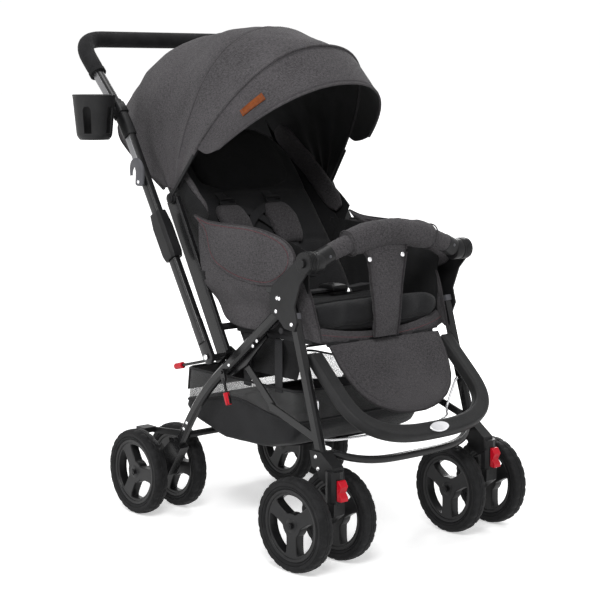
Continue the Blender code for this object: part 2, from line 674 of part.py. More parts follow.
def bumper():
    """Arched foam-covered bar with round ends on the knuckles' stubs, and the crotch wrap."""
    name = pivot("bumper_tilt", (0, *KNUCKLE), "seat_frame")
    reach = KNUCKLE_INNER - SEAT_GAP
    steps = 10
    ends = reach - HUB_END_WIDTH / 2
    path = [bumper_point(ends * (2 * i / steps - 1)) for i in range(steps + 1)]
    bar = swept(path, circle(BUMPER_RADIUS, 10), (0, 1, 0))
    hubs = []
    bores = []
    for sign in (-1, 1):
        hubs.append(cross_rod(sign * reach, sign * (reach - HUB_END_WIDTH), KNUCKLE, KNUCKLE_RADIUS, 16))
        stub = reach - HUB_END_WIDTH + 0.005
        bores.append(cross_rod(sign * (reach + 0.01), sign * stub, KNUCKLE, STUB_RADIUS + SEAT_GAP, PIN_SIDES))
    add("bumper_bar", cut(union(bar, *hubs), *bores), "charcoal_cloth", name)

    count = 6
    wrap_path = [bumper_point(WRAP_HALF_LENGTH * (2 * i / count - 1)) for i in range(count + 1)]
    wrap = swept(wrap_path, circle(WRAP_RADIUS, 10), (0, 1, 0))
    rings = []
    for y, z, half in CROTCH_RINGS:
        deep = CROTCH_THICKNESS
        rings.append([(-half, y, z), (half, y, z), (half, y - deep, z), (-half, y - deep, z)])
    flap = loft(rings)
    core = swept(path, circle(BUMPER_RADIUS + SEAT_GAP, 10), (0, 1, 0))
    add("crotch_wrap", cut(union(wrap, flap), core), "charcoal_cloth", name)


def pillow(start, along, up, length, half_width, levels, power=3.2, sides=14):
    """A soft solid: rounded sections along a line, each (share of length, width share, below, above)."""
    start, along, up = Vector(start), Vector(along).normalized(), Vector(up).normalized()
    rings = []
    for share, width, below, above in levels:
        ring = []
        for i in range(sides):
            turn = math.tau * i / sides
            c, s = math.cos(turn), math.sin(turn)
            across = math.copysign(abs(c) ** (2 / power), c) * half_width * width
            rise = math.copysign(abs(s) ** (2 / power), s) * (above if s > 0 else below)
            ring.append(start + along * length * share + Vector((across, 0, 0)) + up * rise)
        rings.append(ring)
    return loft(rings)


def seat():
    """Seat board with its two rods, crowned cushion, side wings and leg rest."""
    board = block((-SEAT_HALF_WIDTH, SEAT_FRONT_Y, BOARD_UNDERSIDE),
                  (SEAT_HALF_WIDTH, 0.030, BOARD_UNDERSIDE + BOARD_THICKNESS))
    tongue = block((-0.085, 0.0, BOARD_UNDERSIDE), (0.085, RECLINE_AXIS[0], BOARD_UNDERSIDE + BOARD_THICKNESS))
    rod_reach = FRAME_INNER - SEAT_GAP
    rear_rod = cross_rod(-rod_reach, rod_reach, RECLINE_AXIS, RECLINE_ROD_RADIUS, PIN_SIDES)
    front_rod = cross_rod(-PLATE_OUTER, PLATE_OUTER, SEAT_FRONT_ROD, SEAT_ROD_RADIUS)
    ribs = []
    for sign in (-1, 1):
        ribs.append(block((sign * 0.150 - 0.006, SEAT_FRONT_ROD[0] - 0.008, BOARD_UNDERSIDE + 0.002),
                          (sign * 0.150 + 0.006, SEAT_FRONT_ROD[0] + 0.008, SEAT_FRONT_ROD[1] + 0.004)))
    bead = cross_rod(-LEG_REST_BEAD_HALF, LEG_REST_BEAD_HALF, LEG_REST_AXIS, LEG_REST_BEAD_RADIUS, 16)
    lip = block((-LEG_REST_BEAD_HALF, LEG_REST_AXIS[0], BOARD_UNDERSIDE),
                (LEG_REST_BEAD_HALF, SEAT_FRONT_Y + 0.010, LEG_REST_AXIS[1] + 0.9 * LEG_REST_BEAD_RADIUS))
    base = union(board, tongue, rear_rod, front_rod, bead, lip, *ribs)
    add("seat_base", base, "board_plastic", "seat_frame")

    length = SEAT_REAR_Y - SEAT_FRONT_Y
    bottom = BOARD_UNDERSIDE + BOARD_THICKNESS + SEAT_GAP
    half = CUSHION_THICKNESS / 2
    levels = []
    for share in (0.0, 0.03, 0.12, 0.3, 0.46, 0.5, 0.54, 0.7, 0.88, 0.97, 1.0):
        edge = 1 - abs(2 * share - 1) ** 8
        groove = 0.82 if share == 0.5 else 1.0
        levels.append((share, 0.94 + 0.06 * edge, half * (0.6 + 0.4 * edge), half * groove * (0.55 + 0.45 * edge)))
    cushion = pillow((0, SEAT_FRONT_Y, bottom + half), (0, 1, 0), (0, 0, 1), length, SEAT_HALF_WIDTH - 0.004, levels)
    relief = cross_rod(-0.25, 0.25, SEAT_FRONT_ROD, SEAT_ROD_RADIUS + 2 * SEAT_GAP)
    slots = []
    for sign in (-1, 1):
        slots.append(block((sign * 0.150 - 0.007, SEAT_FRONT_ROD[0] - 0.009, BOARD_UNDERSIDE),
                           (sign * 0.150 + 0.007, SEAT_FRONT_ROD[0] + 0.009, SEAT_FRONT_ROD[1] + 0.005)))
    add("seat_cushion", cut(cushion, relief, *slots), "black_cloth", "seat_frame")


def wing(sign, letter):
    """Padded side panel with its wing along the armrest."""
    middle = sum((Vector(point) for point in WING_OUTLINE), Vector((0, 0))) / len(WING_OUTLINE)
    outer = sign * (FRAME_INNER - RUN_GAP - WING_CROWN)
    inner = outer - sign * (WING_THICKNESS - WING_CROWN)
    inset = [tuple(middle + (Vector(point) - middle) * 0.82) for point in WING_OUTLINE]
    panel = loft([side_path(WING_OUTLINE, inner), side_path(WING_OUTLINE, outer),
                  side_path(inset, outer + sign * WING_CROWN)])
    relief = cross_rod(inner - sign * 0.02, outer + sign * 0.02, SEAT_FRONT_ROD, SEAT_ROD_RADIUS + 2 * SEAT_GAP)
    add("side_wing_" + letter, cut(panel, relief), "charcoal_cloth", "seat_frame")


def leg_rest():
    """Hanging flap with round lower corners, hinged at the seat's front edge."""
    name = pivot("leg_rest_tilt", (0, *LEG_REST_AXIS), "seat_frame")
    half = LEG_REST_THICKNESS / 2
    tilt = math.radians(LEG_REST_DEG)
    down = Vector((0, -math.sin(tilt), -math.cos(tilt)))
    out = Vector((0, -math.cos(tilt), math.sin(tilt)))
    end_thick, crown = 0.6 * half, 1.35
    start = Vector((0, *LEG_REST_AXIS)) + out * (LEG_REST_BEAD_RADIUS + SEAT_GAP + end_thick)
    corners = ((1, 0.4), (0.94, 1), (0.5, crown), (-0.5, crown), (-0.94, 1), (-1, 0.4), (-1, -0.4), (-0.94, -1),
               (0.94, -1), (1, -0.4))
    rings = []
    for distance, width in LEG_REST_OUTLINE:
        thick = half if 0.0 < distance < LEG_REST_OUTLINE[-1][0] else end_thick
        middle = start + down * distance
        rings.append([middle + Vector((a * width, 0, 0)) + out * b * thick for a, b in corners])
    add("leg_rest", loft(rings), "charcoal_cloth", name)


def backrest():
    """Reclining board on hinge rings, with its crowned cushion and headrest."""
    name = pivot("backrest_recline", (0, *RECLINE_AXIS), "seat_frame")
    lean = math.radians(BACK_DEG)
    up = Vector((0, math.sin(lean), math.cos(lean)))
    front = Vector((0, -math.cos(lean), math.sin(lean)))
    axis = Vector((0, *RECLINE_AXIS))
    half = BACK_BOARD_THICKNESS / 2
    start = axis + up * 0.016
    low = Vector((BACK_HALF_WIDTH, 0, 0))
    corners = []
    for distance, width in ((0.0, 0.88), (0.05, 1.0), (BACK_LENGTH - 0.10, 1.0), (BACK_LENGTH - 0.02, 0.72)):
        corners.append((distance, width))
    outline = [start + up * d + low * w for d, w in corners] + [start + up * d - low * w for d, w in corners[::-1]]
    board = loft([[point - front * half for point in outline], [point + front * half for point in outline]])
    parts = []
    bores = []
    for sign in (-1, 1):
        x_from, x_to = sign * 0.098, sign * 0.122
        parts.append(cross_rod(x_from, x_to, RECLINE_AXIS, RECLINE_ROD_RADIUS + 0.005, PIN_SIDES))
        arm = block((min(x_from, x_to), -0.004, 0.0), (max(x_from, x_to), 0.004, 0.024))
        bmesh.ops.transform(arm, matrix=Matrix.Translation(axis) @ Matrix.Rotation(-lean, 4, "X"), verts=arm.verts)
        parts.append(arm)
        bores.append(cross_rod(sign * 0.09, sign * 0.13, RECLINE_AXIS, RECLINE_ROD_RADIUS + SEAT_GAP, PIN_SIDES))
    board = cut(union(board, *parts), *bores)
    add("backrest_board", board, "board_plastic", name)

    length = BACK_LENGTH - 0.022
    thick = BACK_CUSHION_THICKNESS / 2
    levels = []
    for share in (0.0, 0.03, 0.14, 0.28, 0.31, 0.34, 0.52, 0.64, 0.67, 0.70, 0.82, 0.94, 0.98, 1.0):
        edge = 1 - abs(2 * share - 1) ** 10
        groove = 0.80 if share in (0.31, 0.67) else 1.0
        head = HEADREST_SWELL * max(0.0, math.sin(math.pi * (share - 0.67) / 0.33)) if share > 0.67 else 0.0
        width = (0.9 + 0.1 * edge) * (1 - 0.26 * max(0.0, (share - 0.78) / 0.22) ** 2)
        levels.append((share, width, thick * (0.6 + 0.4 * edge), thick * groove * (0.5 + 0.5 * edge) + head))
    base = start + up * 0.018 + front * (half + SEAT_GAP + thick)
    cushion = pillow(base, up, front, length - 0.02, BACK_HALF_WIDTH - 0.003, levels)
    add("back_cushion", cushion, "black_cloth", name)


def handle_centre_path():
    """Push handle's middle line: up the right tube, across and down the left."""
    foot = towards(HANDLE_PIVOT, HANDLE_BEND, 0.030)
    outline = [foot, HANDLE_BEND, HANDLE_TOP]
    right = rounded(side_path(outline, -HANDLE_X), 0.045, 3)
    left = [Vector((-point.x, point.y, point.z)) for point in reversed(right)]
    before, corner = right[-2], right[-1]
    corner_path = rounded([before, corner, left[0]], HANDLE_CORNER, 4)[1:-1]
    other = [Vector((-point.x, point.y, point.z)) for point in reversed(corner_path)]
    return right[:-1] + corner_path + other + left[1:]


HANDLE_NORMAL = (0, math.cos(math.radians(40)), -math.sin(math.radians(40)))


def handle_section(gap=0.0):
    return chamfered(HANDLE_DEPTH / 2 + gap, HANDLE_WIDTH / 2 + gap, 0.0045)


def handle_core(gap):
    """Cutter for everything that sits round the tube."""
    return swept(handle_centre_path(), handle_section(gap), HANDLE_NORMAL)


def handle_tube():
    """The U of flat tube with a pivot plate on each end."""
    name = pivot("handle_reverse", (0, *HANDLE_PIVOT), "seat_frame")
    tube = handle_core(0.0)
    plates = []
    bores = []
    reach = towards(HANDLE_PIVOT, HANDLE_BEND, 0.075)
    half = HANDLE_END_PLATE / 2
    for sign in (-1, 1):
        plates.append(prism(round_ended(HANDLE_PIVOT, reach, 0.0145), sign * (HANDLE_X - half),
                            sign * (HANDLE_X + half)))
        bores.append(cross_rod(sign * 0.2, sign * 0.27, HANDLE_PIVOT, PIVOT_PIN_RADIUS + SEAT_GAP, PIN_SIDES))
    screw_at = on_line(HANDLE_PIVOT, HANDLE_BEND, HOOK_PIVOT_Z)
    outer = HANDLE_X + HANDLE_WIDTH / 2
    screw = cross_rod(-HANDLE_X, -(outer + HOOK_THICKNESS + 0.002), screw_at, 0.003)
    tube = cut(union(tube, screw, *plates), *bores)
    add("handle_tube", tube, "frame_paint", name)


def handle_grip():
    """Foam over the top of the U, split nowhere."""
    path = [point for point in handle_centre_path() if point.z > GRIP_START_Z + 0.006]
    right_end = on_line(HANDLE_BEND, HANDLE_TOP, GRIP_START_Z)
    ends = [Vector((sign * HANDLE_X, *right_end)) for sign in (-1, 1)]
    path = [ends[0], *path, ends[1]]
    foam = swept(path, circle(GRIP_RADIUS, 10), HANDLE_NORMAL)
    add("handle_grip", cut(foam, handle_core(SEAT_GAP)), "grip_foam", "handle_reverse")


def lock_slider(sign, letter):
    """Sliding lock on a handle tube, with its bore for the tube."""
    x = sign * HANDLE_X
    low = on_line(HANDLE_PIVOT, HANDLE_BEND, SLIDER_LOW_Z)
    high = on_line(HANDLE_PIVOT, HANDLE_BEND, SLIDER_HIGH_Z)
    name = pivot("lock_slider_" + letter + "_slide", (x, *low), "handle_reverse")
    a = HANDLE_DEPTH / 2 + SLIDER_WALL
    b = HANDLE_WIDTH / 2 + SLIDER_WALL
    shares = ((0.0, 0.86), (0.12, 1.0), (0.7, 1.0), (1.0, 0.82))
    direction = (Vector((x, *high)) - Vector((x, *low)))
    along = direction.normalized()
    normal = Vector((0, along.z, -along.y))
    rings = []
    for share, size in shares:
        centre = Vector((x, *low)) + direction * share
        ring = [centre + normal * p * size + Vector((q * size, 0, 0)) for p, q in chamfered(a, b, 0.006)]
        rings.append(ring)
    body = loft(rings)
    add("lock_slider_" + letter, cut(body, handle_core(RUN_GAP)), "grey_plastic", name)


def cup_holder():
    """Tapered cup with open slots on a clamp round the right tube."""
    at = on_line(HANDLE_BEND, HANDLE_TOP, CUP_CLAMP_Z)
    x = -(HANDLE_X + HANDLE_WIDTH / 2 + CUP_CLAMP_WALL + 0.001 + CUP_TOP_RADIUS)
    y = at[0] + 0.004
    rings = []
    for z, radius in ((CUP_TOP_Z - CUP_HEIGHT, CUP_BASE_RADIUS), (CUP_TOP_Z, CUP_TOP_RADIUS)):
        rings.append([(x + p, y + q, z) for p, q in circle(radius, 16)])
    cup = loft(rings)
    inner = []
    for z, radius in ((CUP_TOP_Z - CUP_HEIGHT + CUP_WALL, CUP_BASE_RADIUS - CUP_WALL),
                      (CUP_TOP_Z + 0.001, CUP_TOP_RADIUS - CUP_WALL)):
        inner.append([(x + p, y + q, z) for p, q in circle(radius, 16)])
    slots = []
    slot_low = CUP_TOP_Z - CUP_HEIGHT + 0.008
    slot_high = CUP_TOP_Z - 0.020
    for turn in (215, 290, 130):
        direction = Vector((math.cos(math.radians(turn)), math.sin(math.radians(turn)), 0))
        slot = block((0.015, -CUP_SLOT_WIDTH / 2, slot_low), (0.060, CUP_SLOT_WIDTH / 2, slot_high))
        bmesh.ops.transform(slot, matrix=Matrix.Translation((x, y, 0)) @ direction.to_track_quat("X", "Z").to_matrix().to_4x4(),
                            verts=slot.verts)
        slots.append(slot)
    tube_x = -HANDLE_X
    along = (Vector((0, *HANDLE_TOP)) - Vector((0, *HANDLE_BEND))).normalized()
    centre = Vector((tube_x, *at))
    clamp = swept([centre - along * 0.013, centre + along * 0.013], handle_section(CUP_CLAMP_WALL), HANDLE_NORMAL)
    arm = block((x + CUP_TOP_RADIUS - 0.006, at[0] - 0.009, CUP_CLAMP_Z - 0.009),
                (-HANDLE_X - HANDLE_WIDTH / 2 - 0.002, at[0] + 0.009, CUP_CLAMP_Z + 0.009))
    holder = cut(union(cup, clamp, arm), loft(inner), handle_core(SEAT_GAP), *slots)
    add("cup_holder", holder, "black_plastic", "handle_reverse")


def bag_hook():
    """Hook that turns on a screw in the right tube."""
    at = on_line(HANDLE_PIVOT, HANDLE_BEND, HOOK_PIVOT_Z)
    y, z = at
    outer = -(HANDLE_X + HANDLE_WIDTH / 2 + SEAT_GAP)
    name = pivot("bag_hook_turn", (outer, y, z), "handle_reverse")
    outline = [(y - 0.009, z - 0.004), (y, z - 0.010), (y + 0.009, z - 0.004), (y + 0.010, z + 0.018),
               (y + 0.014, z + 0.026), (y + 0.020, z + 0.020), (y + 0.021, z + 0.008), (y + 0.028, z + 0.006),
               (y + 0.031, z + 0.022), (y + 0.024, z + 0.038), (y + 0.010, z + 0.044), (y - 0.005, z + 0.036),
               (y - 0.011, z + 0.018)]
    hook = prism(outline, outer, outer - HOOK_THICKNESS)
    bore = cross_rod(-0.2, -0.3, at, 0.003 + SEAT_GAP)
    add("bag_hook", cut(hook, bore), "grey_plastic", name)


def canopy_arch(ribs, angle):
    """Ridge radius, arch power and half-width at an angle forward of upright."""
    for low, high in zip(ribs, ribs[1:]):
        if angle <= high[0]:
            return Vector(low[1:]).lerp(Vector(high[1:]), (angle - low[0]) / (high[0] - low[0]))
    return Vector(ribs[-1][1:])


def canopy_point(ribs, angle, turn, inward=0.0):
    """A point of the fan: turn runs from the right hinge, over the top, to the left hinge."""
    lean = math.radians(angle)
    radius, power, half_width = canopy_arch(ribs, angle)
    c, s = math.cos(turn), math.sin(turn)
    rise = (radius - inward) * s ** power
    across = -math.copysign(abs(c) ** power, c) * (half_width - inward)
    return Vector((across, CANOPY_HINGE[0] - rise * math.sin(lean), CANOPY_HINGE[1] + rise * math.cos(lean)))


def canopy_sheet(ribs, angles, edge_deg, steps=14):
    """A closed skin of the fan between its first and last angle."""
    edge = math.radians(edge_deg)
    turns = [edge + (math.pi - 2 * edge) * i / steps for i in range(steps + 1)]
    rings = []
    for turn in turns:
        outside = [canopy_point(ribs, angle, turn) for angle in angles]
        inside = [canopy_point(ribs, angle, turn, CANOPY_WALL) for angle in reversed(angles)]
        rings.append(outside + inside)
    return loft(rings)


def canopy():
    """Cover over the rear and middle ribs, and the visor with its bow, which folds back."""
    cover = canopy_sheet(COVER_RIBS, [-62, -50, -38, -24, -10, 4, 18, 33], CANOPY_EDGE_DEG)
    hubs = []
    inner = FRAME_OUTER + SEAT_GAP
    for sign in (-1, 1):
        hubs.append(cross_rod(sign * inner, sign * (inner + CANOPY_HUB_WIDTH), CANOPY_HINGE, CANOPY_HUB_RADIUS, 12))
        for angle in (-58, -22, 10):
            tip = canopy_point(COVER_RIBS, angle, math.radians(CANOPY_EDGE_DEG + 2), CANOPY_WALL / 2)
            tip.x *= -sign
            foot = Vector((sign * (inner + CANOPY_HUB_WIDTH / 2), *CANOPY_HINGE))
            hubs.append(rod(foot, tip, 0.0018, 6))
    add("canopy_cover", union(cover, *hubs), "charcoal_cloth", "seat_frame")

    name = pivot("canopy_fold", (0, *CANOPY_HINGE), "seat_frame")
    visor = canopy_sheet(VISOR_RIBS, [CANOPY_BOW_DEG, 42, 48, VISOR_RIBS[-1][0]], VISOR_EDGE_DEG)
    steps = 14
    middle = CANOPY_WALL / 2
    edge = math.radians(CANOPY_EDGE_DEG + 2)
    turns = [edge + (math.pi - 2 * edge) * i / steps for i in range(steps + 1)]
    bow = [canopy_point(VISOR_RIBS, CANOPY_BOW_DEG, turn, middle) for turn in turns]
    bow_x = inner + CANOPY_HUB_WIDTH + RUN_GAP + 0.0045
    ends = [Vector((sign * bow_x, *CANOPY_HINGE)) for sign in (-1, 1)]
    bow = swept([ends[0], *bow, ends[1]], circle(CANOPY_BOW_RADIUS, 6), (0, 1, 0))
    hubs = []
    for sign in (-1, 1):
        start = sign * (inner + CANOPY_HUB_WIDTH + RUN_GAP)
        hubs.append(cross_rod(start, sign * bow_x, CANOPY_HINGE, CANOPY_HUB_RADIUS - 0.002, 12))
    add("canopy_visor", union(visor, bow, *hubs), "charcoal_cloth", name)


def footrest_point(t, sign):
    """Half of the U's middle line: t runs from the hinge bolt to the middle of the front."""
    hinge, front = Vector(FOOTREST_AXIS), Vector(FOOTREST_FRONT)
    length = (front - hinge).length
    along = (front - hinge).normalized()
    if t < 0:
        share, across = t, 1.0
    else:
        turn = math.pi / 2 * t
        share = FOOTREST_STRAIGHT + (length - FOOTREST_STRAIGHT) * math.sin(turn) ** 0.7
        across = math.cos(turn) ** 0.7 if t < 1 else 0.0
    place = hinge + along * (share if t >= 0 else 0.0)
    return Vector((sign * FOOTREST_HALF_WIDTH * across, place.x, place.y))


def footrest():
    """Moulded U with an open middle, bolted to the front legs, and the wire stay below it."""
    steps = 7
    right = [footrest_point(-1, -1)] + [footrest_point(i / steps, -1) for i in range(steps)]
    left = [Vector((-point.x, point.y, point.z)) for point in reversed(right)]
    path = right + [footrest_point(1, 1)] + left
    hinge, front = Vector(FOOTREST_AXIS), Vector(FOOTREST_FRONT)
    along = (front - hinge).normalized()
    normal = (0, along.y, -along.x)
    hoop = swept(path, chamfered(FOOTREST_THICKNESS / 2, FOOTREST_BAND / 2, 0.005), normal)
    bolts = []
    for sign in (-1, 1):
        bolts.append(cross_rod(sign * (FOOTREST_HALF_WIDTH - 0.004), sign * (LEG_INNER - SEAT_GAP), FOOTREST_AXIS,
                               0.007))
    add("footrest", union(hoop, *bolts), "black_plastic", "front_legs")

    wall = LEG_INNER - SEAT_GAP - 0.0002
    half = [(wall, -0.231, 0.298), (0.181, -0.231, 0.298), (0.174, -0.222, 0.262), (0.170, -0.218, 0.240),
            (0.158, -0.226, 0.224)]
    right = [(-x, y, z) for x, y, z in half]
    wire = swept(right + [(-0.08, -0.246, 0.223), (0.08, -0.246, 0.223)] + half[::-1], circle(STAY_RADIUS, 8),
                 (0, 1, 0))
    add("footrest_stay", wire, "steel_wire", "front_legs")

    ends = LEG_INNER - HOUSING_CHEEK - SEAT_GAP
    count = 12
    bend = ends - 0.008
    path = [(-ends, *CROSS_TUBE_END)]
    for i in range(count + 1):
        share = 2 * i / count - 1
        place = Vector(CROSS_TUBE_MIDDLE).lerp(Vector(CROSS_TUBE_END), abs(share) ** 4)
        path.append((bend * share, place.x, place.y))
    path.append((ends, *CROSS_TUBE_END))
    tube = swept(path, circle(CROSS_TUBE_RADIUS, 8), (0, 1, 0))
    add("front_cross_tube", tube, "frame_paint", "front_legs")


def basket_ring(half_width, front, rear, height, inset=0.0):
    """Rounded rectangle in plan; height is a function of y."""
    corner = 0.018
    w, f, r = half_width - inset, front + inset, rear - inset
    corners = ((w - corner, r - corner, 0), (-w + corner, r - corner, 90),
               (-w + corner, f + corner, 180), (w - corner, f + corner, 270))
    ring = []
    for cx, cy, start in corners:
        for step in range(4):
            turn = math.radians(start + 30 * step)
            x, y = cx + corner * math.cos(turn), cy + corner * math.sin(turn)
            ring.append((x, y, height(y)))
    return ring


def basket():
    """Fabric shell, open at the top, hung by four webbing straps from the seat board."""
    low_front, low_rear = BASKET_LOW_EDGE[0][0], BASKET_LOW_EDGE[-1][0]

    def low_edge(y):
        for start, end in zip(BASKET_LOW_EDGE, BASKET_LOW_EDGE[1:]):
            if y <= end[0]:
                return start[1] + (end[1] - start[1]) * (y - start[0]) / (end[0] - start[0])
        return BASKET_LOW_EDGE[-1][1]

    def shell(inset, lift):
        front, rear, half = BASKET_FRONT_Y, BASKET_REAR_Y, BASKET_HALF_WIDTH
        rings = [basket_ring(half, front, rear, lambda y: BASKET_TOP_Z + lift, inset)]
        rings.append(basket_ring(half - 0.002, front - 0.003, rear, lambda y: 0.250, inset))
        rings.append(basket_ring(half - 0.004, low_front, low_rear, lambda y: low_edge(y) + 0.008, inset))
        rings.append(basket_ring(half - 0.014, low_front + 0.014, low_rear - 0.016,
                                 lambda y: low_edge(y) + inset, inset))
        rings.append(basket_ring(half - 0.060, low_front + 0.070, low_rear - 0.070,
                                 lambda y: low_edge(y) - 0.003 + inset, inset))
        return loft(rings)

    outer = shell(0.0, 0.0)
    inner = shell(BASKET_WALL, 0.004)
    straps = []
    width, thick = STRAP_SIZE
    for sign in (-1, 1):
        x = sign * (BASKET_HALF_WIDTH - thick / 2)
        for y in (-0.100, -0.005):
            straps.append(block((x - thick / 2, y - width / 2, BASKET_TOP_Z - 0.010),
                                (x + thick / 2, y + width / 2, BOARD_UNDERSIDE - SEAT_GAP)))
    bag = cut(outer, inner)
    add("basket", union(bag, *straps), "black_cloth", "seat_frame")


def brake_bar():
    """Cross rod with an arm and a foot pedal behind each rear wheel pair."""
    name = pivot("brake_tilt", (0, *BRAKE_AXIS), "rear_legs")
    ends = LEG_INNER - SEAT_GAP - 0.0002
    bar = cross_rod(-ends, ends, BRAKE_AXIS, BRAKE_ROD_RADIUS)
    parts = []
    for sign in (-1, 1):
        inner = sign * (LEG_X - AXLE_MOUNT_WIDTH / 2 - RUN_GAP - BRAKE_ARM_WIDTH)
        arm = prism(round_ended(BRAKE_AXIS, (BRAKE_PEDAL_Y[0] + 0.004, BRAKE_PEDAL_Z[0] + 0.004), 0.006), inner,
                    inner + sign * BRAKE_ARM_WIDTH)
        far = inner + sign * 0.030
        pedal = block((min(inner, far), BRAKE_PEDAL_Y[0], BRAKE_PEDAL_Z[0]),
                      (max(inner, far), BRAKE_PEDAL_Y[1], BRAKE_PEDAL_Z[1]))
        parts += [arm, pedal]
    add("brake_bar", union(bar, *parts), "black_plastic", name)


def lever_rods():
    """Red-tipped release rod across the side frames, and the latch lever on the right leg."""
    name = pivot("release_lift", (0, *RELEASE_AXIS), "seat_frame")
    x = PLATE_OUTER + 0.010
    root = Vector((0, *RELEASE_AXIS))
    tip = Vector((0, *RELEASE_TIP))
    bar = cross_rod(-x, x, RELEASE_AXIS, LEVER_RADIUS)
    parts = []
    for sign in (-1, 1):
        side = Vector((sign * x, 0, 0))
        direction = (tip - root).normalized()
        parts.append(rod(root + side - direction * 0.003, tip + side, LEVER_RADIUS))
        parts.append(rod(tip + side - direction * TIP_LENGTH, tip + side + direction * 0.002, TIP_RADIUS))
    add("release_rod", union(bar, *parts), "red_plastic", name)

    outer = LEG_OUTER + RUN_GAP
    name = pivot("latch_turn", (-outer, *LATCH_AXIS), "rear_legs")
    plate = prism(round_ended(LATCH_AXIS, towards(LATCH_AXIS, LATCH_TIP, 0.014), 0.0065), -outer, -outer - 0.004)
    middle = -outer - LEVER_RADIUS
    bend = Vector((middle, *towards(LATCH_AXIS, LATCH_TIP, 0.012)))
    start = Vector((middle, *towards(LATCH_TIP, LATCH_AXIS, TIP_LENGTH)))
    end = Vector((middle, *LATCH_TIP))
    stem = swept([bend, end], circle(LEVER_RADIUS), (0.2, 0.9, 0.3))
    grip = swept([start, end], circle(TIP_RADIUS), (0.2, 0.9, 0.3))
    wall = block((-outer + 0.02, LATCH_TIP[0] - 0.05, LATCH_TIP[1] - 0.05), (-outer, LATCH_TIP[0] + 0.05, LATCH_AXIS[1]))
    bore = cross_rod(-0.15, -0.25, LATCH_AXIS, LEVER_RADIUS + SEAT_GAP)
    add("latch_lever", cut(union(plate, stem, grip), bore, wall), "red_plastic", name)


def centre_on_box():
    """Move the whole stroller so that the origin is under the middle of its box."""
    bpy.context.view_layer.update()
    low = Vector((1e9, 1e9, 1e9))
    high = -low
    for obj in bpy.data.objects:
        if obj.type != "MESH":
            continue
        for vertex in obj.data.vertices:
            point = obj.matrix_world @ vertex.co
            low = Vector(map(min, low, point))
            high = Vector(map(max, high, point))
    middle = (low + high) / 2
    pivots["seat_frame"][0].location = (-middle.x, -middle.y, -low.z)
    bpy.context.view_layer.update()
    print("box size", [round(value, 4) for value in high - low])
    print("moved by", [round(value, 5) for value in pivots["seat_frame"][0].location])


def build_stroller():
    clear_scene()
    pivot("seat_frame", (0, 0, 0))
    pivot("front_legs", (0, *FRONT_PIVOT), "seat_frame")
    pivot("rear_legs", (0, *REAR_PIVOT), "seat_frame")
    mirror_sides(side_frame)
    mirror_sides(arm_plate)
    mirror_sides(front_leg)
    mirror_sides(rear_leg)
    mirror_sides(castor)
    mirror_sides(braces)
    footrest()
    brake_bar()
    lever_rods()
    seat()
    mirror_sides(wing)
    leg_rest()
    backrest()
    bumper()
    basket()
    handle_tube()
    handle_grip()
    mirror_sides(lock_slider)
    cup_holder()
    bag_hook()
    canopy()
    centre_on_box()


build_stroller()
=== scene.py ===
"""Finished reversible stroller over its CAD frame, in the photo's view.

Shapes are written in stroller coordinates, as the part's source is: metres from the
ground, from the middle plane, and from the line midway between the axles. ROOT moves
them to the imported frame. Cloth carries UVs in metres, so weaves and stitches have real sizes.
"""
import json
import math

import bmesh
import bpy
from mathutils import Matrix, Vector, noise


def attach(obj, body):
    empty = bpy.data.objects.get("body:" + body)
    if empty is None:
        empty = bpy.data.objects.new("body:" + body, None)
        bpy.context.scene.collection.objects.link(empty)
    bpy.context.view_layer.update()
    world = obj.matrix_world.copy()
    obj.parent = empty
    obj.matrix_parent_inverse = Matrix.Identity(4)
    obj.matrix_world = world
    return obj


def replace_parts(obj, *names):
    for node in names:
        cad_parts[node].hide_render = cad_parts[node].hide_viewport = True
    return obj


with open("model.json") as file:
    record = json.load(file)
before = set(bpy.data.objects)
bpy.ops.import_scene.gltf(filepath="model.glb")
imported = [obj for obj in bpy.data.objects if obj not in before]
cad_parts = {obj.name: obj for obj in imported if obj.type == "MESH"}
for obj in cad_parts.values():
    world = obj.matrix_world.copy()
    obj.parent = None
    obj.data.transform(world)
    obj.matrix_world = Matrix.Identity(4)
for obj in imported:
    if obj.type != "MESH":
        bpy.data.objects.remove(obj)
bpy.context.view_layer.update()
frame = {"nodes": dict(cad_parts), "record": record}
JOINTS = {joint["name"]: joint for joint in frame["record"]["behaviour"]["joints"]}
NODE_BODY = {node: body for body, nodes in frame["record"]["behaviour"]["bodies"].items() for node in nodes}

# Places shared with the frame, (y, z) in the side plane
CANOPY_HINGE = (0.185, 0.650)
KNUCKLE = (-0.224, 0.556)
RECLINE_AXIS = (0.048, 0.406)
LEG_REST_AXIS = (-0.2069, 0.3971)
HANDLE_PIVOT = (0.026, 0.355)
HANDLE_BEND = (0.301, 0.802)
HANDLE_TOP = (0.4695, 0.9675)
FOOTREST_AXIS = (-0.209, 0.379)
FOOTREST_FRONT = (-0.357, 0.243)
FRONT_LEG_TOP = (-0.183, 0.457)
FRONT_LEG_FOOT = (-0.267, 0.184)
RELEASE_TIP = (0.156, 0.3165)
LATCH_TIP = (0.0, 0.262)
ROOT = Vector(JOINTS["visor_fold"]["pos_m"]) - Vector((0, *CANOPY_HINGE))

# Sizes shared with the frame
WHEEL_RADIUS = 0.0875
TYRE_WIDTH = 0.030
LEG_X = 0.196
LEG_OUTER = 0.2035
PLATE_OUTER = 0.2078
KNUCKLE_INNER = 0.1898
HANDLE_X = 0.235
TUBE_NORMAL = (0, math.cos(math.radians(40)), -math.sin(math.radians(40)))
BUMPER_RADIUS = 0.0165
BACK_LEAN = math.radians(38.0)
BACK_UP = Vector((0, math.sin(BACK_LEAN), math.cos(BACK_LEAN)))
BACK_FRONT = Vector((0, -math.cos(BACK_LEAN), math.sin(BACK_LEAN)))

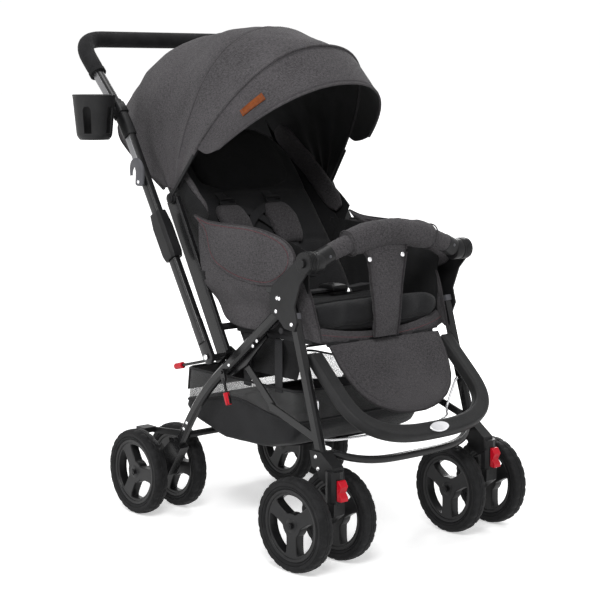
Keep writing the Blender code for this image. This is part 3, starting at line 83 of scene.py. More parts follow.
# Bows of the hood and of the visor: degrees forward of upright, reach, squareness, half-width
CANOPY_RIBS = ((-62, 0.352, 0.66, 0.205), (-38, 0.356, 0.72, 0.205), (-10, 0.3415, 0.86, 0.203),
               (12, 0.3455, 0.86, 0.2020), (37, 0.3685, 0.86, 0.2040))
VISOR_RIBS = ((36, 0.3735, 0.86, 0.2075), (53, 0.3780, 0.915, 0.2090))

# Sizes of the scene's own cloth
SLEEVE_HALF = 0.1700
WRAP_HALF = 0.1045
APRON_HALF = 0.1700
APRON_HEIGHT = 0.0230
FLAP_TILT = math.radians(36)
FLAP_DROP = 0.007
FLAP_LENGTH = 0.162
SIDE_X = 0.1785
SIDE_OUT = 0.0195
LINING_X = 0.1725
WING_X = 0.2005
BASKET_HALF = 0.165
BASKET_FRONT = -0.158
BASKET_REAR = 0.196
BASKET_TOP = 0.3040

# The photo's view as calibrated, and the lamps: name, place, size in metres, watts
CAMERA_PLACE = (-2.08258, -2.42334, 0.89184)
CAMERA_AZIMUTH = math.radians(-40.306)
CAMERA_ELEVATION = math.radians(7.924)
CAMERA_LENS = 96.7
CAMERA_SENSOR = 36.0
LAMPS = (("key", (-2.2, -2.6, 3.2), (1.3, 1.3), 100), ("top", (0.2, 0.3, 3.4), (1.6, 1.6), 42),
         ("rim", (2.8, 1.6, 2.0), (1.0, 2.0), 45), ("left", (-3.4, 0.8, 1.6), (0.6, 2.4), 34))

SIDES = ((-1, "R"), (1, "L"))


class Wire:
    """A node's output that takes part in arithmetic."""

    def __init__(self, net, socket):
        self.net = net
        self.socket = socket

    def __add__(self, other):
        return self.net.math("ADD", self, other)

    def __sub__(self, other):
        return self.net.math("SUBTRACT", self, other)

    def __rsub__(self, other):
        return self.net.math("SUBTRACT", other, self)

    def __mul__(self, other):
        return self.net.math("MULTIPLY", self, other)

    __radd__ = __add__
    __rmul__ = __mul__


class Net:
    """The node tree of one material."""

    def __init__(self, name, **settings):
        self.material = bpy.data.materials.new(name)
        self.material.use_nodes = True
        self.tree = self.material.node_tree
        self.shader = self.tree.nodes["Principled BSDF"]
        self.set(**settings)

    def plug(self, socket, value):
        if isinstance(value, Wire):
            self.tree.links.new(value.socket, socket)
        elif hasattr(value, "__len__") and len(value) == 3 and socket.type == "RGBA":
            socket.default_value = (*value, 1.0)
        else:
            socket.default_value = value

    def node(self, kind, inputs=None, output=0, **settings):
        """Any node, with its inputs by name or number."""
        made = self.tree.nodes.new(kind)
        for key, value in settings.items():
            setattr(made, key, value)
        for key, value in (inputs or {}).items():
            self.plug(made.inputs[key], value)
        return Wire(self, made.outputs[output])

    def set(self, **inputs):
        """Shader inputs, written with underscores."""
        for key, value in inputs.items():
            self.plug(self.shader.inputs[key.replace("_", " ")], value)

    def math(self, operation, *values):
        return self.node("ShaderNodeMath", dict(enumerate(values)), operation=operation)

    def place(self, kind="Object", stretch=(1, 1, 1)):
        """Object or UV coordinates in metres, stretched along the axes."""
        source = self.node("ShaderNodeTexCoord", output=kind)
        return self.node("ShaderNodeMapping", {"Vector": source, "Scale": stretch})

    def noise(self, where, scale, detail=3.0, roughness=0.55):
        return self.node("ShaderNodeTexNoise", {"Vector": where, "Scale": scale, "Detail": detail,
                                                "Roughness": roughness})

    def remap(self, value, low, high, to_low=0.0, to_high=1.0):
        return self.node("ShaderNodeMapRange", {"Value": value, "From Min": low, "From Max": high,
                                                "To Min": to_low, "To Max": to_high})

    def mix(self, factor, low, high):
        return self.node("ShaderNodeMix", {0: factor, 6: low, 7: high}, output=2, data_type="RGBA")

    def bump(self, height, distance, strength=1.0):
        inputs = {"Height": height, "Distance": distance, "Strength": strength}
        self.set(Normal=self.node("ShaderNodeBump", inputs))


def threads(net, pitch):
    """Height of a plain weave with that thread pitch, over UVs in metres."""
    place = net.node("ShaderNodeTexCoord", output="UV")
    u = net.node("ShaderNodeSeparateXYZ", {0: place}, output=0)
    v = net.node("ShaderNodeSeparateXYZ", {0: place}, output=1)
    across = net.math("SINE", u * (math.tau / pitch))
    along = net.math("SINE", v * (math.tau / pitch))
    return across * along * 0.5 + 0.5


def heather(name, dark, light, pitch=0.0009):
    """Woven cloth of mixed yarn: streaks along both threads, slubs and a little pilling."""
    net = Net(name, Roughness=0.95, Specular_IOR_Level=0.06, Sheen_Weight=0.08, Sheen_Roughness=0.5)
    warp = net.noise(net.place("UV", (1.0, 0.22, 1.0)), 620.0, 2.0)
    weft = net.noise(net.place("UV", (0.22, 1.0, 1.0)), 620.0, 2.0)
    mottle = net.noise(net.place("UV"), 300.0, 4.0, 0.75)
    fade = net.noise(net.place("Object"), 9.0, 3.0)
    weave = threads(net, pitch)
    blend = net.remap(warp * 0.34 + weft * 0.34 + mottle * 0.5 + fade * 0.22 + weave * 0.12, 0.60, 0.92)
    net.set(Base_Color=net.mix(blend, dark, light))
    net.bump(weave + mottle * 0.7, 0.00035, 0.7)
    return net.material


def plain_cloth(name, dark, light, pitch, roughness=0.88, sheen=0.1):
    """Fine woven lining or webbing."""
    net = Net(name, Roughness=roughness, Specular_IOR_Level=0.08, Sheen_Weight=sheen)
    weave = threads(net, pitch)
    cloud = net.noise(net.place("Object"), 28.0, 4.0, 0.6)
    fine = net.noise(net.place("UV"), 700.0, 2.0)
    net.set(Base_Color=net.mix(net.remap(cloud * 0.5 + fine * 0.4 + weave * 0.15, 0.3, 0.8), dark, light))
    net.bump(weave + cloud * 0.6, 0.0003, 0.6)
    return net.material


def mesh_cloth():
    """Open knit: round holes in staggered rows."""
    net = Net("mesh_cloth", Roughness=0.8, Sheen_Weight=0.2)
    pitch = 0.0032
    place = net.node("ShaderNodeTexCoord", output="UV")
    u = net.node("ShaderNodeSeparateXYZ", {0: place}, output=0)
    v = net.node("ShaderNodeSeparateXYZ", {0: place}, output=1)
    diagonal = math.tau / pitch / 1.42
    field = net.math("SINE", (u + v) * diagonal) * net.math("SINE", (u - v) * diagonal)
    hole = net.math("GREATER_THAN", net.math("ABSOLUTE", field), 0.20)
    yarn = net.noise(net.place("UV"), 500.0)
    net.set(Alpha=1.0 - hole, Base_Color=net.mix(yarn, (0.05, 0.05, 0.052), (0.11, 0.11, 0.11)))
    net.bump(net.math("ABSOLUTE", field), 0.0004, 0.5)
    return net.material


def hard(name, colour, roughness, metallic=0.0, grain=0.0, grain_scale=1400.0, coat=0.0, wear=0.06,
         gloss=0.16):
    """Paint, plastic or metal: a slight cloud in colour and gloss, a moulded grain, handling marks."""
    net = Net(name, Metallic=metallic, Coat_Roughness=0.12, Specular_IOR_Level=gloss)
    cloud = net.noise(net.place(), 18.0, 5.0, 0.6)
    marks = net.noise(net.place("Object", (1.0, 3.0, 1.0)), 160.0, 6.0, 0.7)
    scuff = net.remap(marks, 0.62, 0.74) * net.remap(cloud, 0.45, 0.7)
    lighter = [min(1.0, 1.35 * value + 0.004) for value in colour]
    net.set(Base_Color=net.mix(net.remap(cloud, 0.35, 0.7), colour, lighter))
    net.set(Roughness=roughness + cloud * wear + scuff * (2.0 * wear))
    if coat:
        net.set(Coat_Weight=coat - scuff * 0.3 * coat)
    if grain:
        bumps = net.node("ShaderNodeTexVoronoi", {"Vector": net.place(), "Scale": grain_scale},
                         feature="SMOOTH_F1")
        net.bump(bumps + cloud * 0.2, grain, 0.7)
    else:
        net.bump(cloud * 0.6 + marks * 0.08, 0.0002, 0.35)
    return net.material


def tyre_rubber():
    """Foam tyre skin: fine pores, dust in the tread and a drier sidewall."""
    net = Net("tyre_rubber", Specular_IOR_Level=0.13)
    pores = net.noise(net.place(), 900.0, 3.0, 0.6)
    dust = net.noise(net.place(), 45.0, 5.0, 0.65)
    net.set(Base_Color=net.mix(net.remap(dust, 0.45, 0.8), (0.0085, 0.0085, 0.009), (0.021, 0.021, 0.022)))
    net.set(Roughness=0.50 + dust * 0.22)
    net.bump(pores + dust * 0.4, 0.00025, 0.5)
    return net.material


def foam_grip():
    """Closed-cell foam sleeve."""
    net = Net("grip_foam", Roughness=0.86, Specular_IOR_Level=0.10, Sheen_Weight=0.04)
    cells = net.node("ShaderNodeTexVoronoi", {"Vector": net.place(), "Scale": 1100.0}, feature="F1")
    cloud = net.noise(net.place(), 40.0, 4.0)
    net.set(Base_Color=net.mix(net.remap(cloud, 0.3, 0.75), (0.010, 0.010, 0.0105), (0.020, 0.020, 0.021)))
    net.bump(cells + cloud * 0.3, 0.0003, 0.6)
    return net.material


def leather():
    """Tan leather with pores, creases and a cloud of darker and lighter tone."""
    net = Net("tag_leather", Roughness=0.55, Specular_IOR_Level=0.10)
    pores = net.node("ShaderNodeTexVoronoi", {"Vector": net.place(), "Scale": 1500.0}, feature="F1")
    cloud = net.noise(net.place(), 160.0, 5.0, 0.65)
    net.set(Base_Color=net.mix(net.remap(cloud, 0.3, 0.75), (0.13, 0.034, 0.009), (0.25, 0.070, 0.020)))
    net.bump(pores * 0.7 + cloud, 0.0003, 0.8)
    return net.material


MATERIALS = {
    "charcoal": heather("charcoal_heather", (0.026, 0.0245, 0.0262), (0.104, 0.098, 0.103)),
    "charcoal_dark": heather("charcoal_binding", (0.018, 0.017, 0.018), (0.054, 0.050, 0.053)),
    "lining": plain_cloth("black_lining", (0.0075, 0.0075, 0.008), (0.019, 0.019, 0.020), 0.0007, sheen=0.06),
    "seat_cloth": plain_cloth("seat_cloth", (0.011, 0.011, 0.0115), (0.026, 0.026, 0.028), 0.0011, 0.9, 0.1),
    "nylon": plain_cloth("basket_nylon", (0.010, 0.010, 0.0105), (0.024, 0.024, 0.026), 0.0008, 0.55, 0.05),
    "webbing": plain_cloth("webbing", (0.010, 0.010, 0.011), (0.032, 0.032, 0.034), 0.0016, 0.7, 0.1),
    "mesh": mesh_cloth(),
    "paint": hard("frame_paint", (0.0070, 0.0070, 0.0075), 0.22, 0.0, coat=0.12, wear=0.08, gloss=0.20),
    "handle_paint": hard("handle_paint", (0.17, 0.17, 0.175), 0.32, 0.9, coat=0.1, wear=0.08),
    "plastic": hard("black_plastic", (0.0085, 0.0085, 0.009), 0.36, grain=0.00012),
    "stipple": hard("stippled_plastic", (0.013, 0.013, 0.0135), 0.46, grain=0.0005, grain_scale=620.0),
    "rim": hard("rim_plastic", (0.0075, 0.0075, 0.008), 0.30, grain=0.00010, gloss=0.2),
    "grey": hard("grey_plastic", (0.070, 0.070, 0.077), 0.42, grain=0.00012),
    "board": hard("board_plastic", (0.012, 0.012, 0.013), 0.6),
    "red": hard("red_plastic", (0.46, 0.003, 0.014), 0.30, coat=0.1),
    "steel": hard("bright_steel", (0.62, 0.62, 0.63), 0.22, 1.0),
    "badge": hard("satin_silver", (0.66, 0.66, 0.68), 0.30, 0.9, coat=0.4),
    "tyre": tyre_rubber(),
    "foam": foam_grip(),
    "leather": leather(),
    "thread": plain_cloth("grey_thread", (0.05, 0.047, 0.05), (0.10, 0.09, 0.10), 0.0005),
    "red_thread": plain_cloth("red_thread", (0.13, 0.028, 0.036), (0.22, 0.05, 0.065), 0.0005),
}


def piece(name, shape, material, body, angle=35.0, placed=False):
    """Finish a bmesh as an object that rides on a body; placed means already in the frame's own place."""
    if not placed:
        bmesh.ops.translate(shape, verts=shape.verts, vec=ROOT)
    bmesh.ops.recalc_face_normals(shape, faces=shape.faces)
    mesh = bpy.data.meshes.new(name)
    shape.to_mesh(mesh)
    shape.free()
    mesh.materials.append(MATERIALS[material])
    mesh.shade_smooth()
    mesh.set_sharp_from_angle(angle=math.radians(angle))
    obj = bpy.data.objects.new(name, mesh)
    bpy.context.collection.objects.link(obj)
    if body:
        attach(obj, body)
    return obj


def refined(node, material, bevel=0.0008, angle=35.0):
    """A CAD node's shape with rounded edges, shown in its place."""
    shape = bmesh.new()
    shape.from_mesh(frame["nodes"][node].data)
    bmesh.ops.remove_doubles(shape, verts=shape.verts, dist=1e-5)
    bmesh.ops.dissolve_limit(shape, angle_limit=math.radians(0.6), verts=shape.verts, edges=shape.edges)
    if bevel:
        sharp = [edge for edge in shape.edges if len(edge.link_faces) == 2
                 and edge.calc_face_angle(0.0) > math.radians(28)]
        bmesh.ops.bevel(shape, geom=sharp, offset=bevel, segments=2, profile=0.5, affect="EDGES",
                        clamp_overlap=True)
    obj = piece("finished_" + node, shape, material, None, angle, placed=True)
    modifier = obj.modifiers.new("weighted", "WEIGHTED_NORMAL")
    modifier.keep_sharp = True
    bake(obj)
    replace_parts(obj, node)
    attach(obj, NODE_BODY[node])
    return obj


def bake(obj):
    """Apply the object's modifiers into its mesh."""
    graph = bpy.context.evaluated_depsgraph_get()
    finished = obj.evaluated_get(graph)
    mesh = bpy.data.meshes.new_from_object(finished, preserve_all_data_layers=True, depsgraph=graph)
    obj.modifiers.clear()
    old, obj.data = obj.data, mesh
    bpy.data.meshes.remove(old)
    mesh.name = obj.name


def spacing(points):
    """Running length along a list of points."""
    total = [0.0]
    for a, b in zip(points, points[1:]):
        total.append(total[-1] + (Vector(b) - Vector(a)).length)
    return total


def skin(rows, around=True, closed=False, caps=True):
    """Bmesh over rows of points, with UVs in metres; rows can be rings, and the rings a loop."""
    shape = bmesh.new()
    layer = shape.loops.layers.uv.new("metres")
    points = [[shape.verts.new(point) for point in row] for row in rows]
    count = len(rows[0])
    middle = rows[len(rows) // 2]
    across = spacing([*middle, middle[0]] if around else middle)
    column = [row[0] for row in rows]
    other = [row[count // 2] for row in rows]
    column, other = [spacing([*line, line[0]] if closed else line) for line in (column, other)]
    along = [(a + b) / 2 for a, b in zip(column, other)]
    for i in range(len(rows) if closed else len(rows) - 1):
        for j in range(count if around else count - 1):
            corners = ((i, j), (i, j + 1), (i + 1, j + 1), (i + 1, j))
            face = shape.faces.new([points[a % len(rows)][b % count] for a, b in corners])
            for loop, (a, b) in zip(face.loops, corners):
                loop[layer].uv = (across[b], along[a])
    if caps and around and not closed:
        for row in (points[0], points[-1]):
            face = shape.faces.new(row)
            for loop in face.loops:
                loop[layer].uv = loop.vert.co.xz
    return shape


def thicken(shape, amount):
    """Give an open sheet two faces and an edge."""
    bmesh.ops.recalc_face_normals(shape, faces=shape.faces)
    bmesh.ops.solidify(shape, geom=shape.faces[:], thickness=amount)
    return shape


def superellipse(half_a, half_b, power=2.0, sides=24):
    """A ring of points: an ellipse at power 2, squarer above it."""
    ring = []
    for i in range(sides):
        c, s = math.cos(math.tau * i / sides), math.sin(math.tau * i / sides)
        a = math.copysign(abs(c) ** (2 / power), c) * half_a
        b = math.copysign(abs(s) ** (2 / power), s) * half_b
        ring.append((a, b))
    return ring


def sweep(points, section, reference=(1, 0, 0), scale=None):
    """Rings of a section carried along a path; scale(share) swells it."""
    path = [Vector(point) for point in points]
    rings = []
    for i, point in enumerate(path):
        tangent = (path[min(i + 1, len(path) - 1)] - path[max(i - 1, 0)]).normalized()
        first = Vector(reference)
        first = (first - first.dot(tangent) * tangent).normalized()
        second = tangent.cross(first)
        size = scale(i / (len(path) - 1)) if scale else 1.0
        rings.append([point + first * (a * size) + second * (b * size) for a, b in section])
    return rings


def curve(points, steps=6):
    """A smooth path through the points."""
    path = [Vector(point) for point in points]
    padded = [2 * path[0] - path[1], *path, 2 * path[-1] - path[-2]]
    result = []
    for a, b, c, d in zip(padded, padded[1:], padded[2:], padded[3:]):
        for step in range(steps):
            t = step / steps
            result.append(0.5 * (2 * b + (c - a) * t + (2 * a - 5 * b + 4 * c - d) * t ** 2
                                 + (3 * b - a - 3 * c + d) * t ** 3))
    result.append(path[-1])
    return result


def rounded(points, tangent, steps=8):
    """A path of straights joined by curves that start at the tangent length."""
    path = [Vector(point) for point in points]
    result = [path[0]]
    for before, corner, after in zip(path, path[1:], path[2:]):
        start = corner + (before - corner).normalized() * tangent
        end = corner + (after - corner).normalized() * tangent
        for step in range(steps + 1):
            t = step / steps
            result.append(start * (1 - t) ** 2 + corner * 2 * t * (1 - t) + end * t ** 2)
    result.append(path[-1])
    return result


def even(points, step):
    """The same path with its points at equal steps."""
    run = spacing(points)
    count = max(1, round(run[-1] / step))
    result = []
    i = 0
    for k in range(count + 1):
        goal = run[-1] * k / count
        while i < len(run) - 2 and run[i + 1] < goal:
            i += 1
        share = (goal - run[i]) / max(run[i + 1] - run[i], 1e-9)
        result.append(Vector(points[i]).lerp(Vector(points[i + 1]), share))
    return result


def cad_box(node):
    """Lowest and highest corner of a CAD node, in stroller coordinates."""
    points = [vertex.co - ROOT for vertex in frame["nodes"][node].data.vertices]
    return [Vector([pick(point[i] for point in points) for i in range(3)]) for pick in (min, max)]


def side(outline, x):
    """Points of a (y, z) outline in the plane at x."""
    return [Vector((x, y, z)) for y, z in outline]


def lathe(profile, matrix, sides=48, closed=False, caps=True):
    """A (radius, x) profile turned about the matrix's X axis."""
    turns = [math.tau * i / sides for i in range(sides)]
    rings = [[matrix @ Vector((x, radius * math.cos(turn), radius * math.sin(turn))) for turn in turns]
             for radius, x in profile]
    return skin(rings, True, closed, caps)


def plate(outline, x_from, x_to, bevel=0.0008):
    """A side outline made solid, with rounded edges."""
    shape = skin([side(outline, x_from), side(outline, x_to)])
    bmesh.ops.bevel(shape, geom=shape.edges[:], offset=bevel, segments=2, profile=0.5, affect="EDGES")
    return shape


def joined(*shapes):
    """Several bmeshes in one."""
    base = shapes[0]
    for extra in shapes[1:]:
        mesh = bpy.data.meshes.new("joining")
        extra.to_mesh(mesh)
        extra.free()
        base.from_mesh(mesh)
        bpy.data.meshes.remove(mesh)
    return base


def wrinkle(shape, amount, scale, seed=0.0, stretch=(1, 1, 1)):
    """Move vertices along their normals by smooth noise."""
    shape.normal_update()
    moves = []
    for vertex in shape.verts:
        where = vertex.co * Vector(stretch) * scale + Vector((seed, seed, seed))
        size = noise.noise(where) + 0.5 * noise.noise(where * 2.1)
        moves.append(vertex.normal * (amount * size))
    for vertex, move in zip(shape.verts, moves):
        vertex.co += move
    return shape


def cloth(name, rows, material, body, thickness=0.0014, around=False, folds=None):
    """A sheet over rows of points, thickened; its width and length along the rows are measured but not kept.
    """
    shape = skin(rows, around, False, False)
    if folds:
        wrinkle(shape, **folds)
    area = sum(face.calc_area() for face in shape.faces)
    width = max(spacing([*row, row[0]] if around else row)[-1] for row in rows)
    length = max(spacing([row[j] for row in rows])[-1] for j in range(0, len(rows[0]), 4))
    obj = piece(name, thicken(shape, thickness), material, body, 60.0)
    width, length = 1.002 * width, 1.002 * length
    share = area / (width * length)
    area if 0.3 <= share < 1.0 else None
    return obj


def pillow(start, along, up, length, half_width, levels, power=3.4, sides=40):
    """Rings of a stuffed shape: each level is (share of length, width share, below, above)."""
    start, along, up = Vector(start), Vector(along).normalized(), Vector(up).normalized()
    rings = []
    for share, width, below, above in levels:
        ring = []
        for a, b in superellipse(half_width * width, 1.0, power, sides):
            height = b * (above if b > 0 else below)
            ring.append(start + along * length * share + Vector((a, 0, 0)) + up * height)
        rings.append(ring)
    return rings


def piping(name, points, radius, material, body):
    """A thin round cord sewn in an edge."""
    rings = sweep(points, superellipse(radius, radius, 2, 8), (0.13, 0.21, 0.97))
    return piece(name, skin(rings), material, body, 60.0)


def dot(radius, height):
    """A domed head, standing on its foot with +Z up."""
    shape = bmesh.new()
    bmesh.ops.create_uvsphere(shape, u_segments=16, v_segments=8, radius=radius)
    bmesh.ops.scale(shape, vec=(1, 1, height / radius), verts=shape.verts)
    return shape


def tree_of_repeats(name, along_curve):
    """Geometry nodes: an item on each point, or at a spacing along a line, turned to its direction."""
    tree = bpy.data.node_groups.new(name, "GeometryNodeTree")
    face = tree.interface
    face.new_socket("Geometry", in_out="INPUT", socket_type="NodeSocketGeometry")
    face.new_socket("Item", in_out="INPUT", socket_type="NodeSocketObject")
    face.new_socket("Spacing", in_out="INPUT", socket_type="NodeSocketFloat")
    face.new_socket("Direction", in_out="INPUT", socket_type="NodeSocketVector")
    face.new_socket("Finish", in_out="INPUT", socket_type="NodeSocketMaterial")
    face.new_socket("Geometry", in_out="OUTPUT", socket_type="NodeSocketGeometry")
    add = tree.nodes.new
    link = tree.links.new
    given, done = add("NodeGroupInput"), add("NodeGroupOutput")
    item, align = add("GeometryNodeObjectInfo"), add("FunctionNodeAlignRotationToVector")
    put, real = add("GeometryNodeInstanceOnPoints"), add("GeometryNodeRealizeInstances")
    dye = add("GeometryNodeSetMaterial")
    points = given.outputs["Geometry"]
    if along_curve:
        line, even = add("GeometryNodeMeshToCurve"), add("GeometryNodeResampleCurve")
        even.mode = "LENGTH"
        link(points, line.inputs[0])
        link(line.outputs[0], even.inputs["Curve"])
        link(given.outputs["Spacing"], even.inputs["Length"])
        points = even.outputs[0]
        align.axis = "X"
        link(add("GeometryNodeInputTangent").outputs[0], align.inputs["Vector"])
    else:
        align.axis = "Z"
        link(given.outputs["Direction"], align.inputs["Vector"])
    link(given.outputs["Item"], item.inputs["Object"])
    link(points, put.inputs["Points"])
    link(item.outputs["Geometry"], put.inputs["Instance"])
    link(align.outputs[0], put.inputs["Rotation"])
    link(put.outputs[0], real.inputs[0])
    link(real.outputs[0], dye.inputs["Geometry"])
    link(given.outputs["Finish"], dye.inputs["Material"])
    link(dye.outputs[0], done.inputs[0])
    return tree


REPEAT_ON_POINTS = tree_of_repeats("repeat_on_points", False)
REPEAT_ALONG = tree_of_repeats("repeat_along_line", True)


def repeats(name, points, item, material, body, direction=None, every=0.0):
    """Copies of an item on points, or along the line through them, as one plain mesh."""
    edges = [] if direction else [(i, i + 1) for i in range(len(points) - 1)]
    mesh = bpy.data.meshes.new(name)
    mesh.from_pydata([Vector(point) + ROOT for point in points], edges, [])
    obj = bpy.data.objects.new(name, mesh)
    bpy.context.collection.objects.link(obj)
    stamp_mesh = bpy.data.meshes.new("stamp")
    item.to_mesh(stamp_mesh)
    item.free()
    stamp_mesh.shade_smooth()
    stamp = bpy.data.objects.new("stamp", stamp_mesh)
    bpy.context.collection.objects.link(stamp)
    modifier = obj.modifiers.new("repeats", "NODES")
    modifier.node_group = REPEAT_ON_POINTS if direction else REPEAT_ALONG
    sockets = modifier.node_group.interface.items_tree
    keys = {socket.name: socket.identifier for socket in sockets if socket.in_out == "INPUT"}
    modifier[keys["Item"]] = stamp
    modifier[keys["Spacing"]] = every
    modifier[keys["Direction"]] = tuple(direction or (0, 0, 1))
    modifier[keys["Finish"]] = MATERIALS[material]
    obj.update_tag()
    bpy.context.view_layer.update()
    bake(obj)
    bpy.data.objects.remove(stamp, do_unlink=True)
    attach(obj, body)
    return obj


def stitches(name, points, body, material="thread", every=0.0042, length=0.0030, radius=0.00042):
    """A row of stitches laid along a line."""
    crown = length * 0.3
    path = [(-length / 2, 0, 0), (-crown, 0, radius), (crown, 0, radius), (length / 2, 0, 0)]
    shape = skin(sweep(path, superellipse(radius, radius, 2, 6), (0, 0, 1)))
    return repeats(name, points, shape, material, body, every=every)


def rivets(name, points, body, direction, radius=0.0038):
    """Domed steel heads on side faces."""
    return repeats(name, points, dot(radius, 0.0022), "steel", body, direction=direction)


def tyre_shape(matrix):
    """Ribbed sidewalls and a middle groove, with the tread's shoulders cut across all round."""
    half = TYRE_WIDTH / 2
    flank = [(0.0666, 0.70), (0.0684, 0.86), (0.0700, 0.96), (0.0716, 0.96), (0.0722, 0.90), (0.0732, 0.90),
             (0.0738, 0.98), (0.0765, 1.0), (0.0800, 1.0), (0.0806, 0.95), (0.0814, 0.95), (0.0820, 0.98),
             (0.0846, 0.90), (0.0862, 0.76), (0.0870, 0.52), (0.0874, 0.26), (0.0866, 0.22), (0.0866, 0.12),
             (WHEEL_RADIUS, 0.08)]
    profile = [(radius, share * half) for radius, share in flank]
    profile += [(radius, -x) for radius, x in reversed(profile)]
    tread_from = 0.0828
    blocks, steps, cut_steps, cut_depth = 24, 7, 2, 0.0013
    rings = []
    for i in range(blocks * steps):
        ring = []
        for radius, x in profile:
            turn = math.tau * i / (blocks * steps)
            if radius > tread_from and abs(x) > 0.3 * half:
                turn += math.radians(1.6) * (abs(x) / half - 0.6)
            if radius > tread_from and abs(x) > 0.24 * half and i % steps < cut_steps:
                radius -= cut_depth
            ring.append(matrix @ Vector((x, radius * math.cos(turn), radius * math.sin(turn))))
        rings.append(ring)
    return skin(rings, True, True)


def rim_shape(matrix, turned):
    """Channelled barrel, domed hub, and a web with three windows."""
    barrel = [(0.0664, -0.0118), (0.0664, 0.0118), (0.0640, 0.0122), (0.0612, 0.0112), (0.0596, 0.0085),
              (0.0590, 0.0), (0.0596, -0.0085), (0.0612, -0.0112), (0.0640, -0.0122)]
    dome = [(0.0002, 0.0104), (0.0120, 0.0104), (0.0134, 0.0098), (0.0138, 0.0070)]
    dome += [(radius, -x) for radius, x in reversed(dome)]
    web = flat_spokes(0.0605, 0.0098)
    upright = Matrix.Rotation(math.radians(90), 4, "Y") @ Matrix.Rotation(math.radians(90), 4, "Z")
    bmesh.ops.transform(web, verts=web.verts, matrix=matrix @ Matrix.Rotation(turned, 4, "X") @ upright)
    return joined(lathe(barrel, matrix, 96, closed=True), lathe(dome, matrix, 48), web)


def wheel(name, spin):
    """Tyre and rim on one wheel's own axis."""
    joint = JOINTS[spin]
    axis = Vector(joint["axis"]).normalized()
    turn = Matrix.Rotation(math.atan2(axis.y, axis.x), 4, "Z")
    matrix = Matrix.Translation(Vector(joint["pos_m"])) @ turn
    for kind, shape, sharp in (("tyre", tyre_shape(matrix), 32.0),
                               ("rim", rim_shape(matrix, spoke_angle(name)), 30.0)):
        node = name.replace("wheel", kind)
        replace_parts(piece("finished_" + node, shape, kind, joint["child"], sharp, True), node)


def spoke_angle(name):
    """How far each wheel has rolled, so that the spokes stand as in the photo."""
    return math.radians(30.0 if "rear" in name else 0.0)


def window(spoke):
    """Round-cornered window between two spokes."""
    middle = math.radians(90 + 120 * spoke)
    outline = []
    outer, inner = (-1, -0.75, -0.45, -0.15, 0.15, 0.45, 0.75, 1), (1, 0.4, -0.4, -1)
    for radius, steps in ((0.0580, outer), (0.0215, inner)):
        half_spoke = 0.0108 + 0.10 * max(0.0, radius - 0.045)
        reach = math.radians(60) - math.asin(half_spoke / radius)
        for turn in [middle + reach * step for step in steps]:
            outline.append(Vector((radius * math.cos(turn), radius * math.sin(turn))))
    for _ in range(3):
        cut = []
        for a, b in zip(outline, outline[1:] + outline[:1]):
            cut += [a.lerp(b, 0.22), a.lerp(b, 0.78)]
        outline = cut
    return outline


def flat_spokes(radius, half_depth):
    """A disc with three windows and rounded edges."""
    bevel = 0.0018
    data = bpy.data.curves.new("spokes", "CURVE")
    data.dimensions = "2D"
    data.fill_mode = "BOTH"
    data.extrude = half_depth - bevel
    data.bevel_depth = bevel
    data.bevel_resolution = 3
    turns = [math.tau * i / 96 for i in range(96)]
    outlines = [[(radius * math.cos(turn), radius * math.sin(turn)) for turn in turns]]
    outlines += [window(spoke) for spoke in range(3)]
    for outline in outlines:
        spline = data.splines.new("POLY")
        spline.points.add(len(outline) - 1)
        for point, (x, y) in zip(spline.points, outline):
            point.co = (x, y, 0.0, 1.0)
        spline.use_cyclic_u = True
    obj = bpy.data.objects.new("spokes", data)
    bpy.context.collection.objects.link(obj)
    mesh = bpy.data.meshes.new_from_object(obj.evaluated_get(bpy.context.evaluated_depsgraph_get()))
    shape = bmesh.new()
    shape.from_mesh(mesh)
    bpy.data.objects.remove(obj, do_unlink=True)
    bpy.data.meshes.remove(mesh)
    return shape


def wheels():
    """Eight wheels: a pair at each corner."""
    for _, letter in SIDES:
        for end in ("front", "rear"):
            for place in ("right", "left"):
                name = f"wheel_{end}_{letter}_{place}"
                wheel(name, name + "_spin")


def hard_frame():
    """Tubes, plates, levers and mouldings: the CAD shapes with rounded edges."""
    for _, letter in SIDES:
        refined("rear_leg_" + letter, "paint", 0.0022)
        refined("front_leg_" + letter, "paint", 0.0022)
        refined("side_frame_" + letter, "paint", 0.0018)
        refined("arm_plate_" + letter, "plastic", 0.0012)
        refined("bumper_button_" + letter, "plastic", 0.0008)
        refined("brace_front_" + letter, "paint", 0.0007)
        refined("brace_rear_" + letter, "paint", 0.0007)
        refined("castor_housing_" + letter, "plastic", 0.0014)
        refined("castor_fork_" + letter, "plastic", 0.0014)
        refined("swivel_lock_" + letter, "red", 0.0012)
        refined("lock_slider_" + letter, "plastic", 0.0016)
    refined("brake_bar", "plastic", 0.0014)
    refined("seat_base", "board", 0.0012)
    refined("backrest_board", "board", 0.0012)


def red_tip(name, end, pivot, body):
    """Flat-ended sleeve on a lever, from its outer end towards its pivot."""
    along = (pivot - end).normalized()
    rings = []
    for distance, radius in ((0.0, 0.0054), (0.0008, 0.0063), (0.0236, 0.0067), (0.0245, 0.0058)):
        place = end + along * distance
        rings.append(sweep([place, place + along * 0.001], superellipse(radius, radius, 2, 28))[0])
    piece(name, skin(rings), "red", body, 40.0)


